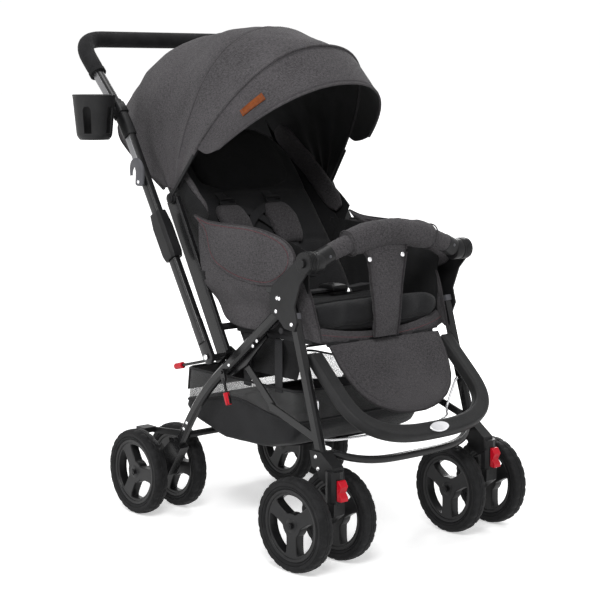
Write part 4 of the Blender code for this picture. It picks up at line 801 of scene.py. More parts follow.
def levers():
    """Thin black rods with red tips: the release rod across the frame and the latch lever."""
    axis = Vector(JOINTS["release_lift"]["pos_m"]) - ROOT
    tip = Vector((0, *RELEASE_TIP))
    out = Vector((PLATE_OUTER + 0.010, 0, 0))
    corners = [tip - out, axis - out, axis + out, tip + out]
    rings = sweep(rounded(corners, 0.004, 4), superellipse(0.003, 0.003, 2, 12), (0.1, 0.3, 1))
    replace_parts(piece("release_wire", skin(rings), "paint", "release"), "release_rod")
    for sign, letter in SIDES:
        end = tip + sign * out + (tip - axis).normalized() * 0.002
        red_tip("release_tip_" + letter, end, axis + sign * out, "release")
    refined("latch_lever", "paint", 0.0008)
    low, _ = cad_box("latch_lever")
    pivot = Vector(JOINTS["latch_turn"]["pos_m"]) - ROOT
    pivot.x = low.x + 0.0062
    end = Vector((pivot.x, *LATCH_TIP))
    red_tip("latch_tip", end + (end - pivot).normalized() * 0.001, pivot, "latch")


def front_end():
    """Cross tube, wire stay, and the rivets and caps of the front legs."""
    cross_tube()
    stay_wire()
    for sign, letter in SIDES:
        heads = side([(-0.2570, 0.2050), (-0.2640, 0.1840)], sign * (LEG_OUTER + 0.0045))
        rivets("housing_rivets_" + letter, heads, "front_legs", (sign, 0, 0), 0.0042)
        top = Vector((sign * LEG_X, *FRONT_LEG_TOP))
        down = (Vector((sign * LEG_X, *FRONT_LEG_FOOT)) - top).normalized()
        levels = [top + down * distance for distance in (-0.0012, -0.0008, 0.010, 0.0102)]
        cap = sweep(levels, superellipse(0.0081, 0.0116, 5, 28), (1, 0, 0), eased_ends(0.9))
        piece("leg_cap_" + letter, skin(cap), "grey", "front_legs")


def eased_ends(size):
    """Scale of a sweep that is smaller at its two end rings."""
    return lambda share: size if share in (0.0, 1.0) else 1.0


def cross_tube():
    """Tube between the castor housings, bowed forward and down in the middle."""
    end, bowed = Vector((-0.268, 0.2085)), Vector((-0.310, 0.1905))
    path = [Vector((-0.1832, *end))]
    for i in range(41):
        share = 2 * i / 40 - 1
        path.append(Vector((0.175 * share, *bowed.lerp(end, abs(share) ** 4))))
    path.append(Vector((0.1832, *end)))
    rings = sweep(path, superellipse(0.008, 0.0072, 2.4, 20), (0, 1, 0))
    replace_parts(piece("front_tube", skin(rings), "paint", "front_legs"), "front_cross_tube")


def stay_wire():
    """Bright wire under the footrest, from one front leg to the other."""
    half = [(0.1880, -0.231, 0.298), (0.181, -0.231, 0.298), (0.174, -0.222, 0.262), (0.170, -0.218, 0.240),
            (0.158, -0.226, 0.224), (0.08, -0.246, 0.223)]
    corners = [Vector((-x, y, z)) for x, y, z in half] + [Vector(point) for point in reversed(half)]
    rings = sweep(curve(corners, 6), superellipse(0.0025, 0.0025, 2, 14), (0, 1, 0.1))
    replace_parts(piece("stay_wire", skin(rings), "steel", "front_legs"), "footrest_stay")


def rear_rivets():
    """Rivet heads of the rear legs, arm plates and braces, and the screws of the handle's pivots."""
    leg_heads = ((-0.082, 0.396), (-0.070, 0.385), (0.005, 0.338), (0.144, 0.201), (0.154, 0.187))
    plate_heads = ((-0.147, 0.485), (-0.1535, 0.4845), (-0.144, 0.460), (-0.1882, 0.440))
    brace_heads = ((-0.016, 0.345), (-0.104, 0.271))
    brace_face = 0.1788
    for sign, letter in SIDES:
        out = (sign, 0, 0)
        rivets("leg_rivets_" + letter, side(leg_heads, sign * LEG_OUTER), "rear_legs", out)
        rivets("plate_rivets_" + letter, side(plate_heads, sign * PLATE_OUTER), "seat_frame", out, 0.0042)
        rivets("brace_rivets_" + letter, side(brace_heads, sign * brace_face), "brace_rear_" + letter,
               (-sign, 0, 0), 0.0042)
        screw = side([HANDLE_PIVOT], sign * (HANDLE_X + 0.0085))
        rivets("handle_screw_" + letter, screw, "seat_frame", out, 0.0058)


def knuckles():
    """Ribbed housings of the bumper bar's ends, with a cuff each."""
    matrix = Matrix.Translation(Vector((0, *KNUCKLE)))
    ribs, pitch = 4, 0.0036
    housing = [(0.0150, 0.0004), (0.0206, 0.0008)]
    for rib in range(ribs):
        x = 0.0022 + pitch * rib
        housing += [(0.0214, x), (0.0214, x + 0.0022), (0.0200, x + 0.0026), (0.0200, x + 0.0033)]
    housing += [(0.0206, 0.0190), (0.0180, 0.0208), (0.0105, 0.0211)]
    cuff = [(0.0192, -0.0003), (0.0204, -0.0015), (0.0204, -0.0163), (0.0194, -0.0185), (0.0170, -0.0193)]
    turned_pieces = (("knuckle_ribs_", housing, "seat_frame"), ("bumper_hub_", cuff, "bumper"))
    for sign, letter in SIDES:
        for name, profile, body in turned_pieces:
            turned = [(radius, sign * (KNUCKLE_INNER + x)) for radius, x in profile]
            piece(name + letter, lathe(turned, matrix, 64), "plastic", body, 40.0)


def bumper_point(x):
    """Middle line of the bumper bar, arched up and forward between its knuckles."""
    reach, rise, forward = 0.1808, 0.044, 0.006
    share = 1 - (x / reach) ** 2
    return Vector((x, KNUCKLE[0] - forward * share, KNUCKLE[1] + rise * share))


def bumper_ring(x, section):
    """A section set across the bumper's middle line."""
    return sweep([bumper_point(x - 0.0005), bumper_point(x + 0.0005)], section, (0, 1, 0))[0]


def sleeve_radius(x):
    """Half-thickness of the gathered sleeve on the bumper's foam."""
    size = BUMPER_RADIUS + 0.0005
    gathered = 0.146
    if abs(x) < gathered:
        fade = 1 - math.exp(-((abs(x) - gathered) / 0.02) ** 2)
        size += 0.0009 * math.sin(x * 620) * fade * (0.4 + 0.6 * abs(math.sin(x * 90)))
    return size


def bumper():
    """Foam bar with a gathered sleeve, end cuffs, a stuffed wrap with wrinkles and the crotch strap."""
    rings = []
    for i in range(121):
        x = SLEEVE_HALF * (2 * i / 120 - 1)
        rings.append(bumper_ring(x, superellipse(sleeve_radius(x), sleeve_radius(x), 2, 40)))
    sleeve = piece("bumper_sleeve", skin(rings), "charcoal", "bumper", 60.0)
    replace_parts(sleeve, "bumper_bar")
    for sign, letter in SIDES:
        path = [bumper_point(sign * (0.1480 + 0.0240 * i / 8)) for i in range(9)]
        cuff = skin(sweep(path, superellipse(0.0178, 0.0178, 2, 40), (0, 1, 0)))
        piece("bumper_cuff_" + letter, cuff, "plastic", "bumper", 40.0)
        where = bumper_point(sign * 0.1600) + Vector((0, -0.0176, 0.001))
        head = dot(0.0030, 0.0012)
        repeats("cuff_screw_" + letter, [where], head, "grey", "bumper", direction=(0, -1, 0.05))
    bumper_wrap()
    crotch_strap()


def bumper_wrap():
    """Stuffed, wrinkled cover over the bar's middle, with a hem at each end."""
    rings = []
    for i in range(91):
        share = 2 * i / 90 - 1
        swell = 0.0262 * (1 - 0.16 * abs(share) ** 14) - 0.0006
        rings.append(bumper_ring(WRAP_HALF * share, superellipse(swell, swell * 1.02, 2.15, 56)))
    shape = skin(rings)
    wrinkle(shape, 0.0016, 26.0, 3.1, (1.0, 0.35, 0.35))
    wrinkle(shape, 0.0007, 85.0, 8.7, (1.6, 0.5, 0.5))
    wrap = piece("bumper_wrap", shape, "charcoal", "bumper", 60.0)
    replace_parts(wrap, "crotch_wrap")
    for sign, letter in SIDES:
        path = [bumper_point(sign * (WRAP_HALF - 0.0015)), bumper_point(sign * (WRAP_HALF - 0.0005))]
        ring = sweep(path, superellipse(0.0240, 0.0245, 2.15, 48), (0, 1, 0))[0]
        piping("wrap_hem_" + letter, [*ring, ring[0], ring[1]], 0.0013, "charcoal", "bumper")


def strap_centre(share):
    """Middle of the crotch strap's front face, from inside the wrap down to the seat's front edge."""
    path = ((-0.2400, 0.5860), (-0.2460, 0.5630), (-0.2445, 0.5400), (-0.2405, 0.5050), (-0.2395, 0.4700),
            (-0.2375, 0.4350), (-0.2330, 0.4050))
    place = share * (len(path) - 1)
    i = min(int(place), len(path) - 2)
    y, z = Vector(path[i]).lerp(Vector(path[i + 1]), place - i)
    return Vector((-0.012 - 0.016 * (1 - share) ** 1.5, y, z))


def strap_half(share):
    """Half-width of the crotch strap: broad at the wrap, narrow at the seat."""
    return 0.0300 + 0.0270 * (1 - share) ** 1.5


def crotch_strap():
    """Soft tapered strap with cross wrinkles, corded edges and two snaps."""
    rows = []
    for i in range(49):
        share = i / 48
        centre, half = strap_centre(share), strap_half(share)
        row = []
        for j in range(33):
            across = 2 * j / 32 - 1
            middle = 1 - across ** 2
            fold = 0.0016 * math.sin(30 * share ** 1.3 + 2.2 * across) * middle * (0.25 + 0.75 * share)
            row.append(centre + Vector((half * across, -0.0050 * middle - fold, 0)))
        rows.append(row)
    shape = thicken(skin(rows, False, False, False), 0.0060)
    wrinkle(shape, 0.0012, 42.0, 5.0, (0.5, 1, 1.6))
    strap = piece("crotch_strap", shape, "charcoal", "bumper", 60.0)
    for sign, letter in SIDES:
        edge = [strap_centre(i / 24) + Vector((sign * strap_half(i / 24), -0.0015, 0)) for i in range(25)]
        piping("strap_cord_" + letter, edge, 0.0021, "charcoal_dark", "bumper")
        line = [point + Vector((-sign * 0.0075, -0.0032, 0)) for point in edge]
        stitches("strap_stitches_" + letter, line, "bumper")
    snaps = [Vector((-0.072, -0.2520, 0.5560)), Vector((0.010, -0.2535, 0.5600))]
    repeats("strap_snaps", snaps, dot(0.0050, 0.0024), "steel", "bumper", direction=(0, -1, 0.15))


def canopy_arch(ribs, angle):
    """Reach, squareness and half-width of the bows at an angle."""
    for low, high in zip(ribs, ribs[1:]):
        if angle <= high[0]:
            return Vector(low[1:]).lerp(Vector(high[1:]), (angle - low[0]) / (high[0] - low[0]))
    return Vector(ribs[-1][1:])


def canopy_point(ribs, angle, turn, inward=0.0):
    """A point of the hood: turn runs from the right hinge, over the top, to the left hinge."""
    lean = math.radians(angle)
    radius, power, half_width = canopy_arch(ribs, angle)
    c, s = math.cos(turn), math.sin(turn)
    rise = (radius - inward) * max(s, 0.0) ** power
    across = -math.copysign(abs(c) ** power, c) * (half_width - inward)
    return Vector((across, CANOPY_HINGE[0] - rise * math.sin(lean), CANOPY_HINGE[1] + rise * math.cos(lean)))


def hood_edge(angle):
    """How near the hinge the hood's lower edge comes, in degrees of turn."""
    return 1.8 if angle < 30 else 1.6


def hood_sag(angle, turn):
    """Cloth sinks between the bows and gathers where they meet at the hinge."""
    sag = 0.0
    for low, high in ((-62, -25), (-25, 12), (12, 37)):
        if low <= angle <= high:
            sag = math.sin(math.pi * (angle - low) / (high - low)) ** 1.4
    s = math.sin(turn)
    pleats = (1 + math.sin(math.radians(angle) * 17 + 1.3 * math.sin(5 * turn))) * math.exp(-(s / 0.42) ** 2)
    point = canopy_point(CANOPY_RIBS, angle, turn)
    ripple = noise.noise(Vector((point.x * 9, point.y * 16, point.z * 11))) + 0.5 * noise.noise(point * 34)
    return 0.0045 * sag * s + 0.0018 * pleats + 0.0034 * ripple * s


def hood_rows(inward, low=-62.0, high=37.0, trim=0.0):
    """The hood's rows from its rear bow to its front one, each over the top from hinge to hinge."""
    rows = []
    for i in range(97):
        angle = low + (high - low) * i / 96
        edge = math.radians(hood_edge(angle) + trim)
        row = []
        for j in range(145):
            turn = edge + (math.pi - 2 * edge) * j / 144
            row.append(canopy_point(CANOPY_RIBS, angle, turn, inward + hood_sag(angle, turn)))
        rows.append(row)
    return rows


def visor_rows(inward, low=36.2, high=53.0):
    """The visor's rows from its bow to its front edge; its two ends have rounded corners."""
    rows = []
    for i in range(33):
        share = i / 32
        angle = low + (high - low) * share
        right = math.radians(16.5 + 3.0 * share + 5.0 * share ** 6)
        left = math.pi - math.radians(19.0 + 3.5 * share + 6.5 * share ** 4)
        row = []
        for j in range(145):
            turn = right + (left - right) * j / 144
            point = canopy_point(VISOR_RIBS, angle, turn)
            ripple = 0.0012 * noise.noise(Vector((point.x * 8, point.y * 14, point.z * 10)))
            sunk = (ripple + 0.0020) * math.sin(math.pi * share)
            row.append(canopy_point(VISOR_RIBS, angle, turn, inward + sunk))
        rows.append(row)
    return rows


def hood_line(angle, turns, sunk):
    """A line over the hood's cloth, a little way into it."""
    return [canopy_point(CANOPY_RIBS, angle, turn, hood_sag(angle, turn) + sunk) for turn in turns]


def canopy():
    """Hood, lining, seam, visor with its corded hems, bows and the leather tag."""
    rows = hood_rows(0.0)
    hood = cloth("canopy_hood", rows, "charcoal", "seat_frame", 0.0014)
    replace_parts(hood, "canopy_cover")
    inside = hood_rows(0.0046, trim=0.5)
    cloth("canopy_lining", inside, "lining", "seat_frame", 0.0010)
    seam_angle = 12
    first = math.radians(hood_edge(seam_angle) + 9)
    turns = [first + (math.pi - 2 * first) * i / 120 for i in range(121)]
    piping("hood_seam", hood_line(seam_angle, turns, 0.0003), 0.0008, "charcoal_dark", "seat_frame")
    for letter, beside_seam in (("a", -1.0), ("b", 1.0)):
        stitches("hood_stitches_" + letter, hood_line(seam_angle + beside_seam, turns, 0.0001), "seat_frame")
    piping("hood_rear_hem", rows[0], 0.0020, "charcoal_dark", "seat_frame")
    for j, letter in ((0, "R"), (-1, "L")):
        piping("hood_side_hem_" + letter, [row[j] for row in rows], 0.0018, "charcoal_dark", "seat_frame")

    rows = visor_rows(0.0)
    visor = cloth("visor_cloth", rows, "charcoal", "canopy_visor", 0.0014)
    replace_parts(visor, "canopy_visor")
    inside = visor_rows(0.0024, 37.0, 52.4)
    cloth("visor_lining", inside, "lining", "canopy_visor", 0.0010)
    piping("visor_bow", rows[1], 0.0036, "charcoal", "canopy_visor")
    piping("visor_front_hem", rows[-1], 0.0023, "charcoal", "canopy_visor")
    for index, name in ((3, "back"), (30, "front")):
        line = [point + Vector((0, -0.0004, 0.0006)) for point in rows[index]]
        stitches("visor_stitches_" + name, line, "canopy_visor")
    bows()
    leather_tag()


def bows():
    """Flat bow ends from the hinge up into the visor, and the hinge hubs."""
    matrix = Matrix.Translation(Vector((0, *CANOPY_HINGE)))
    profile = ((0.0115, 0.2030), (0.0122, 0.2036), (0.0122, 0.2064), (0.0100, 0.2070), (0.0100, 0.2108),
               (0.0060, 0.2116))
    for sign, letter in SIDES:
        hub = lathe([(radius, sign * x) for radius, x in profile], matrix, 40)
        piece("hood_hub_" + letter, hub, "plastic", "seat_frame", 40.0)
        tip = canopy_point(VISOR_RIBS, 37, math.radians(14), 0.003)
        tip.x *= -sign
        foot = Vector((sign * 0.2095, *CANOPY_HINGE))
        path = curve([foot, foot.lerp(tip, 0.6), tip], 6)
        rings = sweep(path, superellipse(0.0014, 0.0036, 4, 12), (1, 0, 0))
        piece("visor_bow_end_" + letter, skin(rings), "plastic", "canopy_visor")


def leather_tag():
    """Bare leather strip sewn on the visor's right side."""
    def row(angle, start, end, count, proud):
        turns = [math.radians(start + (end - start) * j / count) for j in range(count + 1)]
        return [canopy_point(VISOR_RIBS, angle, turn, -proud) for turn in turns]

    rows = [row(46.3 + 1.6 * (i / 4 - 1), 38.5, 49.5, 20, 0.0012) for i in range(9)]
    shape = thicken(skin(rows, False, False, False), 0.0016)
    piece("leather_tag", shape, "leather", "canopy_visor", 60.0)
    inset = row(45.0, 39.2, 48.8, 12, 0.0026) + row(47.6, 48.8, 39.2, 12, 0.0026)
    stitches("tag_stitches", [*inset, inset[0]], "canopy_visor", every=0.0030, length=0.0020, radius=0.0003)


def levels_of(count, channels, depth, half, base=0.55, power=8):
    """Levels of a stuffed cushion whose crown dips at its sewn channels."""
    levels = []
    for i in range(count + 1):
        share = i / count
        edge = 1 - abs(2 * share - 1) ** power
        dip = sum(math.exp(-((share - channel) / 0.018) ** 2) for channel in channels)
        thick = half * (base + (1 - base) * edge)
        levels.append((share, 0.93 + 0.07 * edge, thick, thick * (1 - depth * dip)))
    return levels


def seat():
    """Seat cushion with channels, its front roll, and the charcoal apron below it."""
    half, bottom, front = 0.029, 0.4073, -0.196
    levels = levels_of(60, (0.34, 0.68), 0.3, half)
    shape = skin(pillow((0, front, bottom + half), (0, 1, 0), (0, 0, 1), 0.174, 0.159, levels, 3.6, 72))
    wrinkle(shape, 0.0016, 22.0, 1.7)
    cushion = piece("seat_pad", shape, "seat_cloth", "seat_frame", 60.0)
    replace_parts(cushion, "seat_cushion")
    path = []
    for i in range(61):
        path.append(Vector((0.150 * (2 * i / 60 - 1), -0.1900 + 0.002 * math.cos(i * 0.5), 0.4485)))
    roll = skin(sweep(path, superellipse(0.0190, 0.0235, 2.3, 40), (0, 1, 0),
                      lambda share: 1 - 0.35 * abs(2 * share - 1) ** 10))
    wrinkle(roll, 0.0018, 24.0, 4.2, (0.8, 1, 1))
    piece("front_roll", roll, "seat_cloth", "seat_frame", 60.0)
    apron()


def apron_line(across):
    """Lower seam of the seat's front, in (y, z), for a place across it."""
    return Vector((-0.2125 + 0.016 * across ** 4, 0.3890 + 0.0185 * across ** 2))


def apron():
    """Charcoal band that wraps the seat board's front edge, with its corded lower seam."""
    shares = [2 * j / 60 - 1 for j in range(61)]
    rows = []
    for i in range(17):
        up = i / 16
        row = []
        for across in shares:
            low = apron_line(across)
            bulge = 0.0030 * math.sin(math.pi * up)
            fold = 0.0014 * math.sin(across * 19 + 1.5 * up) * math.sin(math.pi * up)
            y = low.x - bulge - fold + 0.010 * up
            z = low.y + APRON_HEIGHT * up + 0.004 * up * across ** 2
            row.append(Vector((APRON_HALF * across, y, z)))
        rows.append(row)
    cloth("seat_apron", rows, "charcoal", "seat_frame")
    seam = [Vector((APRON_HALF * across, *apron_line(across))) + Vector((0, -0.0012, 0)) for across in shares]
    piping("apron_cord", seam, 0.0022, "charcoal_dark", "seat_frame")
    line = [point + Vector((0, -0.0022, 0.0135)) for point in seam]
    stitches("apron_stitches", line, "seat_frame", "red_thread")
    seat_corners()


def seat_corners():
    """Charcoal strips that close the seat's front corners, with a cord down their inner edge."""
    for sign, letter in SIDES:
        rows = []
        for i in range(21):
            share = i / 20
            inner = Vector((sign * 0.168, -0.186, 0.512)).lerp(Vector((sign * 0.163, -0.222, 0.404)), share)
            inner.y -= 0.004 * math.sin(math.pi * share)
            outer = Vector((sign * 0.1785, -0.150, 0.520)).lerp(Vector((sign * 0.1720, -0.186, 0.410)), share)
            row = []
            for j in range(9):
                point = inner.lerp(outer, j / 8)
                point.x += sign * 0.0035 * math.sin(math.pi * j / 8) + 0.0008 * math.sin(9 * share + j)
                row.append(point)
            rows.append(row)
        cloth("seat_corner_" + letter, rows, "charcoal", "seat_frame", 0.0022)
        piping("seat_corner_cord_" + letter, [row[0] for row in rows], 0.0021, "charcoal_dark", "seat_frame")


def leg_rest():
    """Hanging padded flap with round lower corners and a corded edge."""
    down = Vector((0, -math.sin(FLAP_TILT), -math.cos(FLAP_TILT)))
    out = Vector((0, -math.cos(FLAP_TILT), math.sin(FLAP_TILT)))
    start = Vector((0, *LEG_REST_AXIS)) + out * 0.0089 + down * FLAP_DROP
    length = FLAP_LENGTH - FLAP_DROP
    rings = []
    for i in range(49):
        share = i / 48
        half = leg_rest_half(share * length)
        thick = 0.0062 * (1 - 0.4 * abs(2 * share - 1) ** 12)
        middle = start + down * (length * share)
        rings.append([middle + Vector((a, 0, 0)) + out * b for a, b in superellipse(half, thick, 3.2, 72)])
    shape = skin(rings)
    wrinkle(shape, 0.0009, 24.0, 9.3)
    flap = piece("leg_rest_flap", shape, "charcoal", "leg_rest", 60.0)
    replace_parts(flap, "leg_rest")

    def edge(first, last, inset, raised, proud):
        """Down the flap's right edge and up its left one, moved inwards, up and out."""
        right = []
        for place in [length * i / 40 for i in range(first, last)]:
            across = Vector((inset - leg_rest_half(place), 0, 0))
            right.append(start + down * (place - raised) + across + out * proud)
        return right + [Vector((-point.x, point.y, point.z)) for point in reversed(right)]

    piping("leg_rest_cord", edge(0, 41, 0.0, 0.0, 0.0), 0.0020, "charcoal_dark", "leg_rest")
    stitches("leg_rest_stitches", edge(2, 40, 0.007, 0.006, 0.0052), "leg_rest")


def leg_rest_half(distance):
    """Half-width of the flap at a distance below its top edge."""
    distance += FLAP_DROP
    outline = ((0.0, 0.141), (0.045, 0.138), (0.075, 0.132), (0.100, 0.123), (0.122, 0.109), (0.140, 0.088),
               (0.154, 0.058), (0.160, 0.036), (0.162, 0.020))
    for low, high in zip(outline, outline[1:]):
        if distance <= high[0]:
            share = (distance - low[0]) / (high[0] - low[0])
            return low[1] + (high[1] - low[1]) * share
    return outline[-1][1]


def on_back(x, distance, proud):
    """A point by its height up the backrest and its distance in front of the board."""
    return Vector((x, *RECLINE_AXIS)) + BACK_UP * distance + BACK_FRONT * proud


def backrest():
    """Back cushion, headrest, rear cover, padded sides and harness."""
    levels = []
    for i in range(81):
        share = i / 80
        edge = 1 - abs(2 * share - 1) ** 10
        dip = sum(math.exp(-((share - channel) / 0.016) ** 2) for channel in (0.31, 0.62))
        width = (0.9 + 0.1 * edge) * (1 - 0.26 * max(0.0, (share - 0.78) / 0.22) ** 2)
        thick = 0.018 * (0.55 + 0.45 * edge)
        levels.append((share, width, thick * 0.95, thick * (1 - 0.22 * dip)))
    shape = skin(pillow(on_back(0, 0.034, 0.0223), BACK_UP, BACK_FRONT, 0.413, 0.161, levels, 3.4, 72))
    wrinkle(shape, 0.0016, 20.0, 6.1)
    cushion = piece("back_pad", shape, "seat_cloth", "backrest", 60.0)
    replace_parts(cushion, "back_cushion")
    levels = []
    for i in range(41):
        edge = abs(2 * i / 40 - 1)
        levels.append((i / 40, 1 - 0.5 * edge ** 7, 0.010, 0.017 * (1 - edge ** 6) + 0.002))
    shape = skin(pillow(on_back(0, 0.292, 0.0355), BACK_UP, BACK_FRONT, 0.145, 0.118, levels, 4.2, 64))
    wrinkle(shape, 0.0010, 26.0, 2.2)
    piece("headrest", shape, "lining", "backrest", 60.0)
    rows = []
    for i in range(33):
        share = i / 32
        half = 0.160 * (1 - 0.25 * max(0.0, (share - 0.8) / 0.2) ** 2)
        row = []
        for j in range(33):
            ripple = 0.0016 * noise.noise(Vector((j * 0.35, share * 7, 2.0)))
            row.append(on_back(half * (2 * j / 32 - 1), 0.030 + 0.405 * share, ripple - 0.0062))
        rows.append(row)
    cloth("back_cover", rows, "charcoal", "backrest")
    for sign, letter in SIDES:
        back_side(sign, letter)
    harness()


def back_side(sign, letter):
    """Padded roll up one side of the backrest, the gusset inside it and the cover behind it."""
    side_name = "back_side_" + letter
    rings = []
    for i in range(41):
        share = i / 40
        size = 1 - 0.5 * abs(2 * share - 1) ** 10
        x = 0.1765 - 0.013 * smooth(1.6 * share - 0.6)
        centre = on_back(sign * x, 0.205 + 0.245 * share, 0.078 - 0.046 * share)
        rings.append([centre + Vector((a * size, 0, 0)) + BACK_FRONT * (b * size)
                      for a, b in superellipse(0.0070, 0.0240, 2.6, 36)])
    roll = skin(rings)
    wrinkle(roll, 0.0022, 30.0, 12.0 + sign, (1, 1, 1))
    piece(side_name, roll, "charcoal", "backrest", 60.0)
    gusset, cover = [], []
    for i in range(25):
        share = i / 24
        x = 0.1765 - 0.013 * smooth(2.2 * share - 1.2)
        low = on_back(sign * 0.158, 0.140 + 0.350 * share, 0.010)
        high = on_back(sign * x, 0.190 + 0.255 * share, 0.060 - 0.046 * share)
        waves = [0.0020 * math.sin(14 * share + j * 0.6) for j in range(13)]
        gusset.append([low.lerp(high, j / 12) + Vector((wave, 0, 0)) for j, wave in enumerate(waves)])
        x = 0.1850 - 0.016 * smooth(1.6 * share - 0.6)
        low = on_back(sign * 0.162, 0.150 + 0.300 * share, -0.002)
        high = on_back(sign * x, 0.195 + 0.222 * share, 0.102 - 0.056 * share)
        wave = 0.0012 * math.sin(14 * share)
        bulges = [sign * 0.008 * math.sin(math.pi * j / 12) + wave for j in range(13)]
        cover.append([low.lerp(high, j / 12) + Vector((bulge, 0, 0)) for j, bulge in enumerate(bulges)])
    cloth("back_gusset_" + letter, gusset, "lining", "backrest")
    cloth("back_side_cover_" + letter, cover, "lining", "backrest")


def strip(name, points, half_width, material, body, normal, thickness=0.0014):
    """Webbing laid along points, flat to a normal."""
    rows = []
    path = curve(points, 6)
    for i, point in enumerate(path):
        tangent = (path[min(i + 1, len(path) - 1)] - path[max(i - 1, 0)]).normalized()
        across = tangent.cross(Vector(normal)).normalized()
        rows.append([point + across * half_width * (2 * j / 4 - 1) for j in range(5)])
    return cloth(name, rows, material, body, thickness)


def harness():
    """Two padded shoulder straps with adjusters, lap straps and the buckle."""
    for sign, letter, shift in ((-1, "R", -0.018), (1, "L", -0.022)):
        x = sign * 0.062 + shift
        top, low = on_back(x, 0.250, 0.0420), on_back(x, 0.150, 0.0480)
        shoulder_pad(letter, sign, curve([top, on_back(x + sign * 0.002, 0.205, 0.0500), low], 14))
        above = [on_back(x, 0.300, 0.0300), on_back(x, 0.272, 0.0430), top]
        strip("shoulder_strap_" + letter, above, 0.0115, "webbing", "backrest", BACK_FRONT)
        below = [low, on_back(sign * 0.058, 0.110, 0.0440), on_back(sign * 0.052, 0.070, 0.0410)]
        strip("chest_strap_" + letter, below, 0.0115, "webbing", "backrest", BACK_FRONT)
        cross = [on_back(sign * 0.052 + shift, 0.245, 0.0480), on_back(-0.020, 0.222, 0.0500 + sign * 0.0012),
                 on_back(-sign * 0.040 + shift, 0.185, 0.0470)]
        strip("cross_strap_" + letter, cross, 0.0085, "webbing", "backrest", BACK_FRONT)
        ring = [on_back(x + a, 0.256 + b, 0.0500) for a, b in superellipse(0.0185, 0.0068, 5, 32)]
        piping("strap_adjuster_" + letter, [*ring, ring[0], ring[1]], 0.0019, "plastic", "backrest")
        lap = [Vector((sign * 0.150, -0.010, 0.4700)), Vector((sign * 0.110, -0.045, 0.4770)),
               Vector((sign * 0.055, -0.062, 0.4770)), Vector((sign * 0.016, -0.068, 0.4790))]
        strip("lap_strap_" + letter, lap, 0.0115, "webbing", "seat_frame", (0, 0, 1))
    levels = levels_of(16, (), 0, 0.0075, 0.6, 6)
    buckle = skin(pillow((0, -0.090, 0.4800), (0, 1, 0), (0, 0, 1), 0.042, 0.021, levels, 3.6, 32))
    piece("harness_buckle", buckle, "plastic", "seat_frame", 60.0)
    levels = levels_of(10, (), 0, 0.0025, 0.6, 6)
    button = skin(pillow((0, -0.080, 0.4865), (0, 1, 0), (0, 0, 1), 0.018, 0.010, levels, 3.0, 24))
    piece("buckle_button", button, "plastic", "seat_frame", 60.0)


def shoulder_pad(letter, sign, path):
    """Stuffed pad along a path in front of the back cushion."""
    rings = []
    for i, point in enumerate(path):
        share = i / (len(path) - 1)
        edge = 1 - abs(2 * share - 1) ** 8
        half = (0.029 + 0.006 * math.sin(math.pi * share)) * (0.85 + 0.15 * edge)
        rings.append([point + Vector((a, 0, 0)) + BACK_FRONT * b
                      for a, b in superellipse(half, 0.0125 * (0.45 + 0.55 * edge), 2.8, 44)])
    pad = skin(rings)
    wrinkle(pad, 0.0014, 36.0, 4.4 + sign)
    piece("shoulder_pad_" + letter, pad, "charcoal", "backrest", 60.0)


# Outlines of the side cloths, (y, z) in the side plane
WING_OUTLINE = ((0.110, 0.622), (0.070, 0.613), (0.010, 0.6105), (-0.060, 0.610), (-0.110, 0.605),
                (-0.148, 0.595), (-0.176, 0.582), (-0.190, 0.562), (-0.182, 0.538), (-0.160, 0.520),
                (-0.120, 0.5045), (-0.050, 0.5065), (0.000, 0.516), (0.045, 0.533), (0.068, 0.558),
                (0.080, 0.596))
PANEL_OUTLINE = ((0.102, 0.606), (0.060, 0.606), (-0.060, 0.602), (-0.150, 0.575), (-0.150, 0.520),
                 (-0.132, 0.470), (-0.106, 0.424), (-0.045, 0.412), (0.030, 0.418), (0.062, 0.452),
                 (0.090, 0.505), (0.102, 0.562))
LINING_OUTLINE = ((0.136, 0.608), (0.060, 0.604), (-0.060, 0.598), (-0.182, 0.572), (-0.190, 0.520),
                  (-0.188, 0.460), (-0.176, 0.415), (-0.045, 0.408), (0.030, 0.418), (0.070, 0.452),
                  (0.106, 0.505), (0.136, 0.562))


def padded_panel(outline, x, sign, crown, thickness, seed):
    """A stuffed side panel: rings shrink from its edge to its middle on both faces."""
    path = curve([Vector((0, y, z)) for y, z in (*outline, outline[0])], 5)[:-1]
    middle = sum(path, Vector()) / len(path)
    steps = 14
    sizes = [math.sin(i / steps * math.pi / 2) for i in range(steps)]
    levels = [(size, thickness / 2 + crown * (1 - size ** 3)) for size in sizes]
    levels.append((1.0, 0.0))
    levels += [(size, -(thickness / 2) * (1 - size ** 6)) for size in reversed(sizes)]
    rings = []
    for size, rise in levels:
        place = Vector((x + sign * rise, 0, 0))
        rings.append([middle + (point - middle) * max(size, 0.02) + place for point in path])
    shape = skin(rings)
    layer = shape.loops.layers.uv.active
    for face in shape.faces:
        for loop in face.loops:
            loop[layer].uv = loop.vert.co.yz
    wrinkle(shape, 0.0016, 20.0, seed, (1, 1, 1.4))
    return shape, path


def smooth(share):
    """0 to 1 with an easy start and end."""
    share = max(0.0, min(1.0, share))
    return share * share * (3 - 2 * share)


def beside(point, sign, out):
    """A side cloth's point in place: out over the arm tube, in behind the arm plate; the left sags."""
    front = smooth((-0.10 - point.y) / 0.05)
    move = out * smooth((point.z - 0.450) / 0.045) * (1 - 0.3 * front) - 0.004 * front
    sag = (0.012 + 0.020 * smooth(-point.y / 0.16)) * smooth((point.z - 0.50) / 0.10) if sign > 0 else 0.0
    return point + Vector((sign * move, 0, -sag))


def laid_beside(shape, sign, out):
    """A side cloth's shape with every point laid in its place."""
    for vertex in shape.verts:
        vertex.co = beside(vertex.co, sign, out)
    return shape


